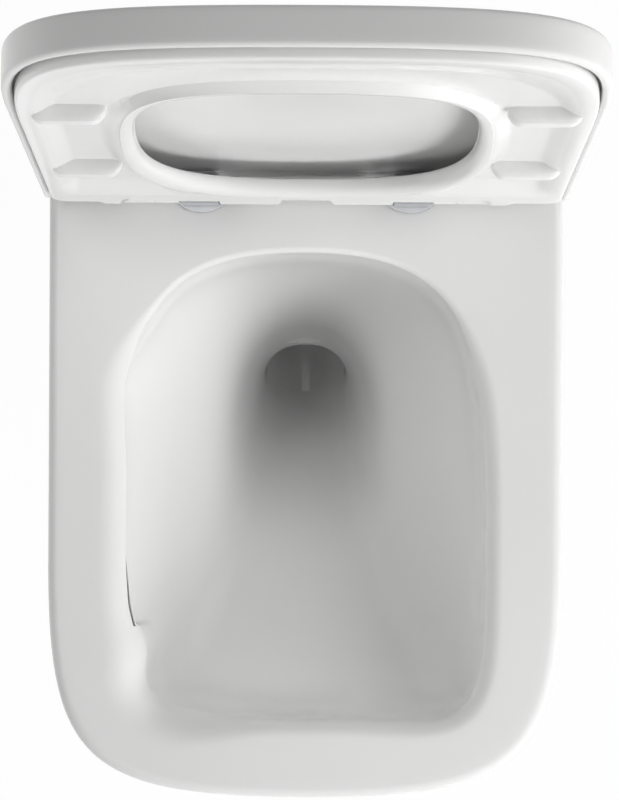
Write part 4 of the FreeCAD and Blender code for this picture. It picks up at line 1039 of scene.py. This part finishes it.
shown("lid_cover", lid_grid.mesh("lid_cover", lid_ears, swing_open), "lid", ("lid",),
      lid_white_painted_shade)

# Lid buffers and hinge caps: two round rubber pads on the inside of the lid that land on the seat, and
# moulded plugs that close the outer ends of its ears.
dress(both("lid_buffer"), pad_white)
dress(both("hinge_cap"), cover_white)

# Studio: a pale floor below the hanging pan, soft lamps low at the front on both sides, higher at the right
# and behind on the left, air that is darkest straight above, and a camera straight above the bowl.
FLOOR_REACH = 15.0
FLOOR_Z = -0.34
PAPER_GREY = 0.85
PAPER_GLOW = 0.97
HORIZON_LIGHT = 0.36
ZENITH_LIGHT = 0.0
LAMP_AIM = (0.0, -0.2, 0.15)
LAMP_SIZE = 1.2
CAMERA_LENS = 134.6
CAMERA_SENSOR = 36.0
CAMERA_SHIFT = 0.0051
CAMERA_PLACE = (0.0, -0.2314, 2.172)
CAMERA_ROLL = 0.005


def seen_share(tree):
    """Socket that is 1 for rays from the camera, mirrored or let through, and 0 for the rest."""
    rays = tree.nodes.new("ShaderNodeLightPath")
    found = rays.outputs["Is Camera Ray"]
    for other in ("Is Glossy Ray", "Is Transmission Ray"):
        most = tree.nodes.new("ShaderNodeMath")
        most.operation = "MAXIMUM"
        tree.links.new(found, most.inputs[0])
        tree.links.new(rays.outputs[other], most.inputs[1])
        found = most.outputs[0]
    return found


def blend_shaders(tree, share, one, other, end):
    """Mixes two shaders by a share into the end of a tree."""
    blend = tree.nodes.new("ShaderNodeMixShader")
    for socket, value in zip(blend.inputs, (share, one.outputs[0], other.outputs[0])):
        tree.links.new(value, socket)
    tree.links.new(blend.outputs[0], tree.nodes[end].inputs["Surface"])


floor_mesh = bpy.data.meshes.new("studio_floor")
floor_corners = ((-1, -1), (1, -1), (1, 1), (-1, 1))
floor_mesh.from_pydata([(x * FLOOR_REACH, y * FLOOR_REACH, FLOOR_Z) for x, y in floor_corners], [],
                       [(0, 1, 2, 3)])
floor = bpy.data.objects.new("studio_floor", floor_mesh)
bpy.context.scene.collection.objects.link(floor)
paper = bpy.data.materials.new("white_paper")
paper.use_nodes = True
paper_tree = paper.node_tree
paper_tree.nodes.remove(paper_tree.nodes["Principled BSDF"])
matt = paper_tree.nodes.new("ShaderNodeBsdfDiffuse")
matt.inputs["Color"].default_value = (PAPER_GREY, PAPER_GREY, PAPER_GREY, 1)
glow = paper_tree.nodes.new("ShaderNodeEmission")
glow_share = paper_tree.nodes.new("ShaderNodeMath")
glow_share.operation = "MULTIPLY"
glow_share.inputs[1].default_value = PAPER_GLOW
paper_tree.links.new(seen_share(paper_tree), glow_share.inputs[0])
blend_shaders(paper_tree, glow_share.outputs[0], matt, glow, "Material Output")
floor_mesh.materials.append(paper)

world = bpy.data.worlds.new("studio_air")
bpy.context.scene.world = world
world.use_nodes = True
air_tree = world.node_tree
backdrop = air_tree.nodes["Background"]
dim = air_tree.nodes.new("ShaderNodeBackground")
backdrop.inputs["Strength"].default_value = 1.0
for light in (backdrop, dim):
    light.inputs["Color"].default_value = (1, 1, 1, 1)
air_place = air_tree.nodes.new("ShaderNodeTexCoord")
air_split = air_tree.nodes.new("ShaderNodeSeparateXYZ")
air_level = air_tree.nodes.new("ShaderNodeMapRange")
air_level.inputs["To Min"].default_value = HORIZON_LIGHT
air_level.inputs["To Max"].default_value = ZENITH_LIGHT
air_tree.links.new(air_place.outputs["Generated"], air_split.inputs["Vector"])
air_tree.links.new(air_split.outputs["Z"], air_level.inputs["Value"])
air_tree.links.new(air_level.outputs["Result"], dim.inputs["Strength"])
blend_shaders(air_tree, seen_share(air_tree), dim, backdrop, "World Output")

for name, place, power in (("key_lamp", (1.25, -1.6, 0.75), 26.5), ("right_lamp", (1.6, -0.2, 1.4), 17.0),
                           ("fill_lamp", (-1.5, -1.3, 0.7), 9.0), ("rear_lamp", (-1.3, 0.6, 1.5), 6.6)):
    lamp = bpy.data.lights.new(name, "AREA")
    lamp.shape = "DISK"
    lamp.size = LAMP_SIZE
    lamp.energy = power
    holder = bpy.data.objects.new(name, lamp)
    bpy.context.scene.collection.objects.link(holder)
    way = np.array(LAMP_AIM) - np.array(place)
    holder.location = place
    holder.visible_glossy = False
    holder.rotation_euler = (math.atan2(math.hypot(way[0], way[1]), -way[2]), 0, math.atan2(-way[0], way[1]))

lens = bpy.data.cameras.new("photo_camera")
lens.lens = CAMERA_LENS
lens.sensor_fit = "VERTICAL"
lens.sensor_height = CAMERA_SENSOR
lens.shift_x = CAMERA_SHIFT
camera = bpy.data.objects.new("photo_camera", lens)
bpy.context.scene.collection.objects.link(camera)
camera.location = CAMERA_PLACE
camera.rotation_euler = (0, 0, CAMERA_ROLL)
bpy.context.scene.camera = camera

bpy.context.scene.view_settings.view_transform = "Standard"
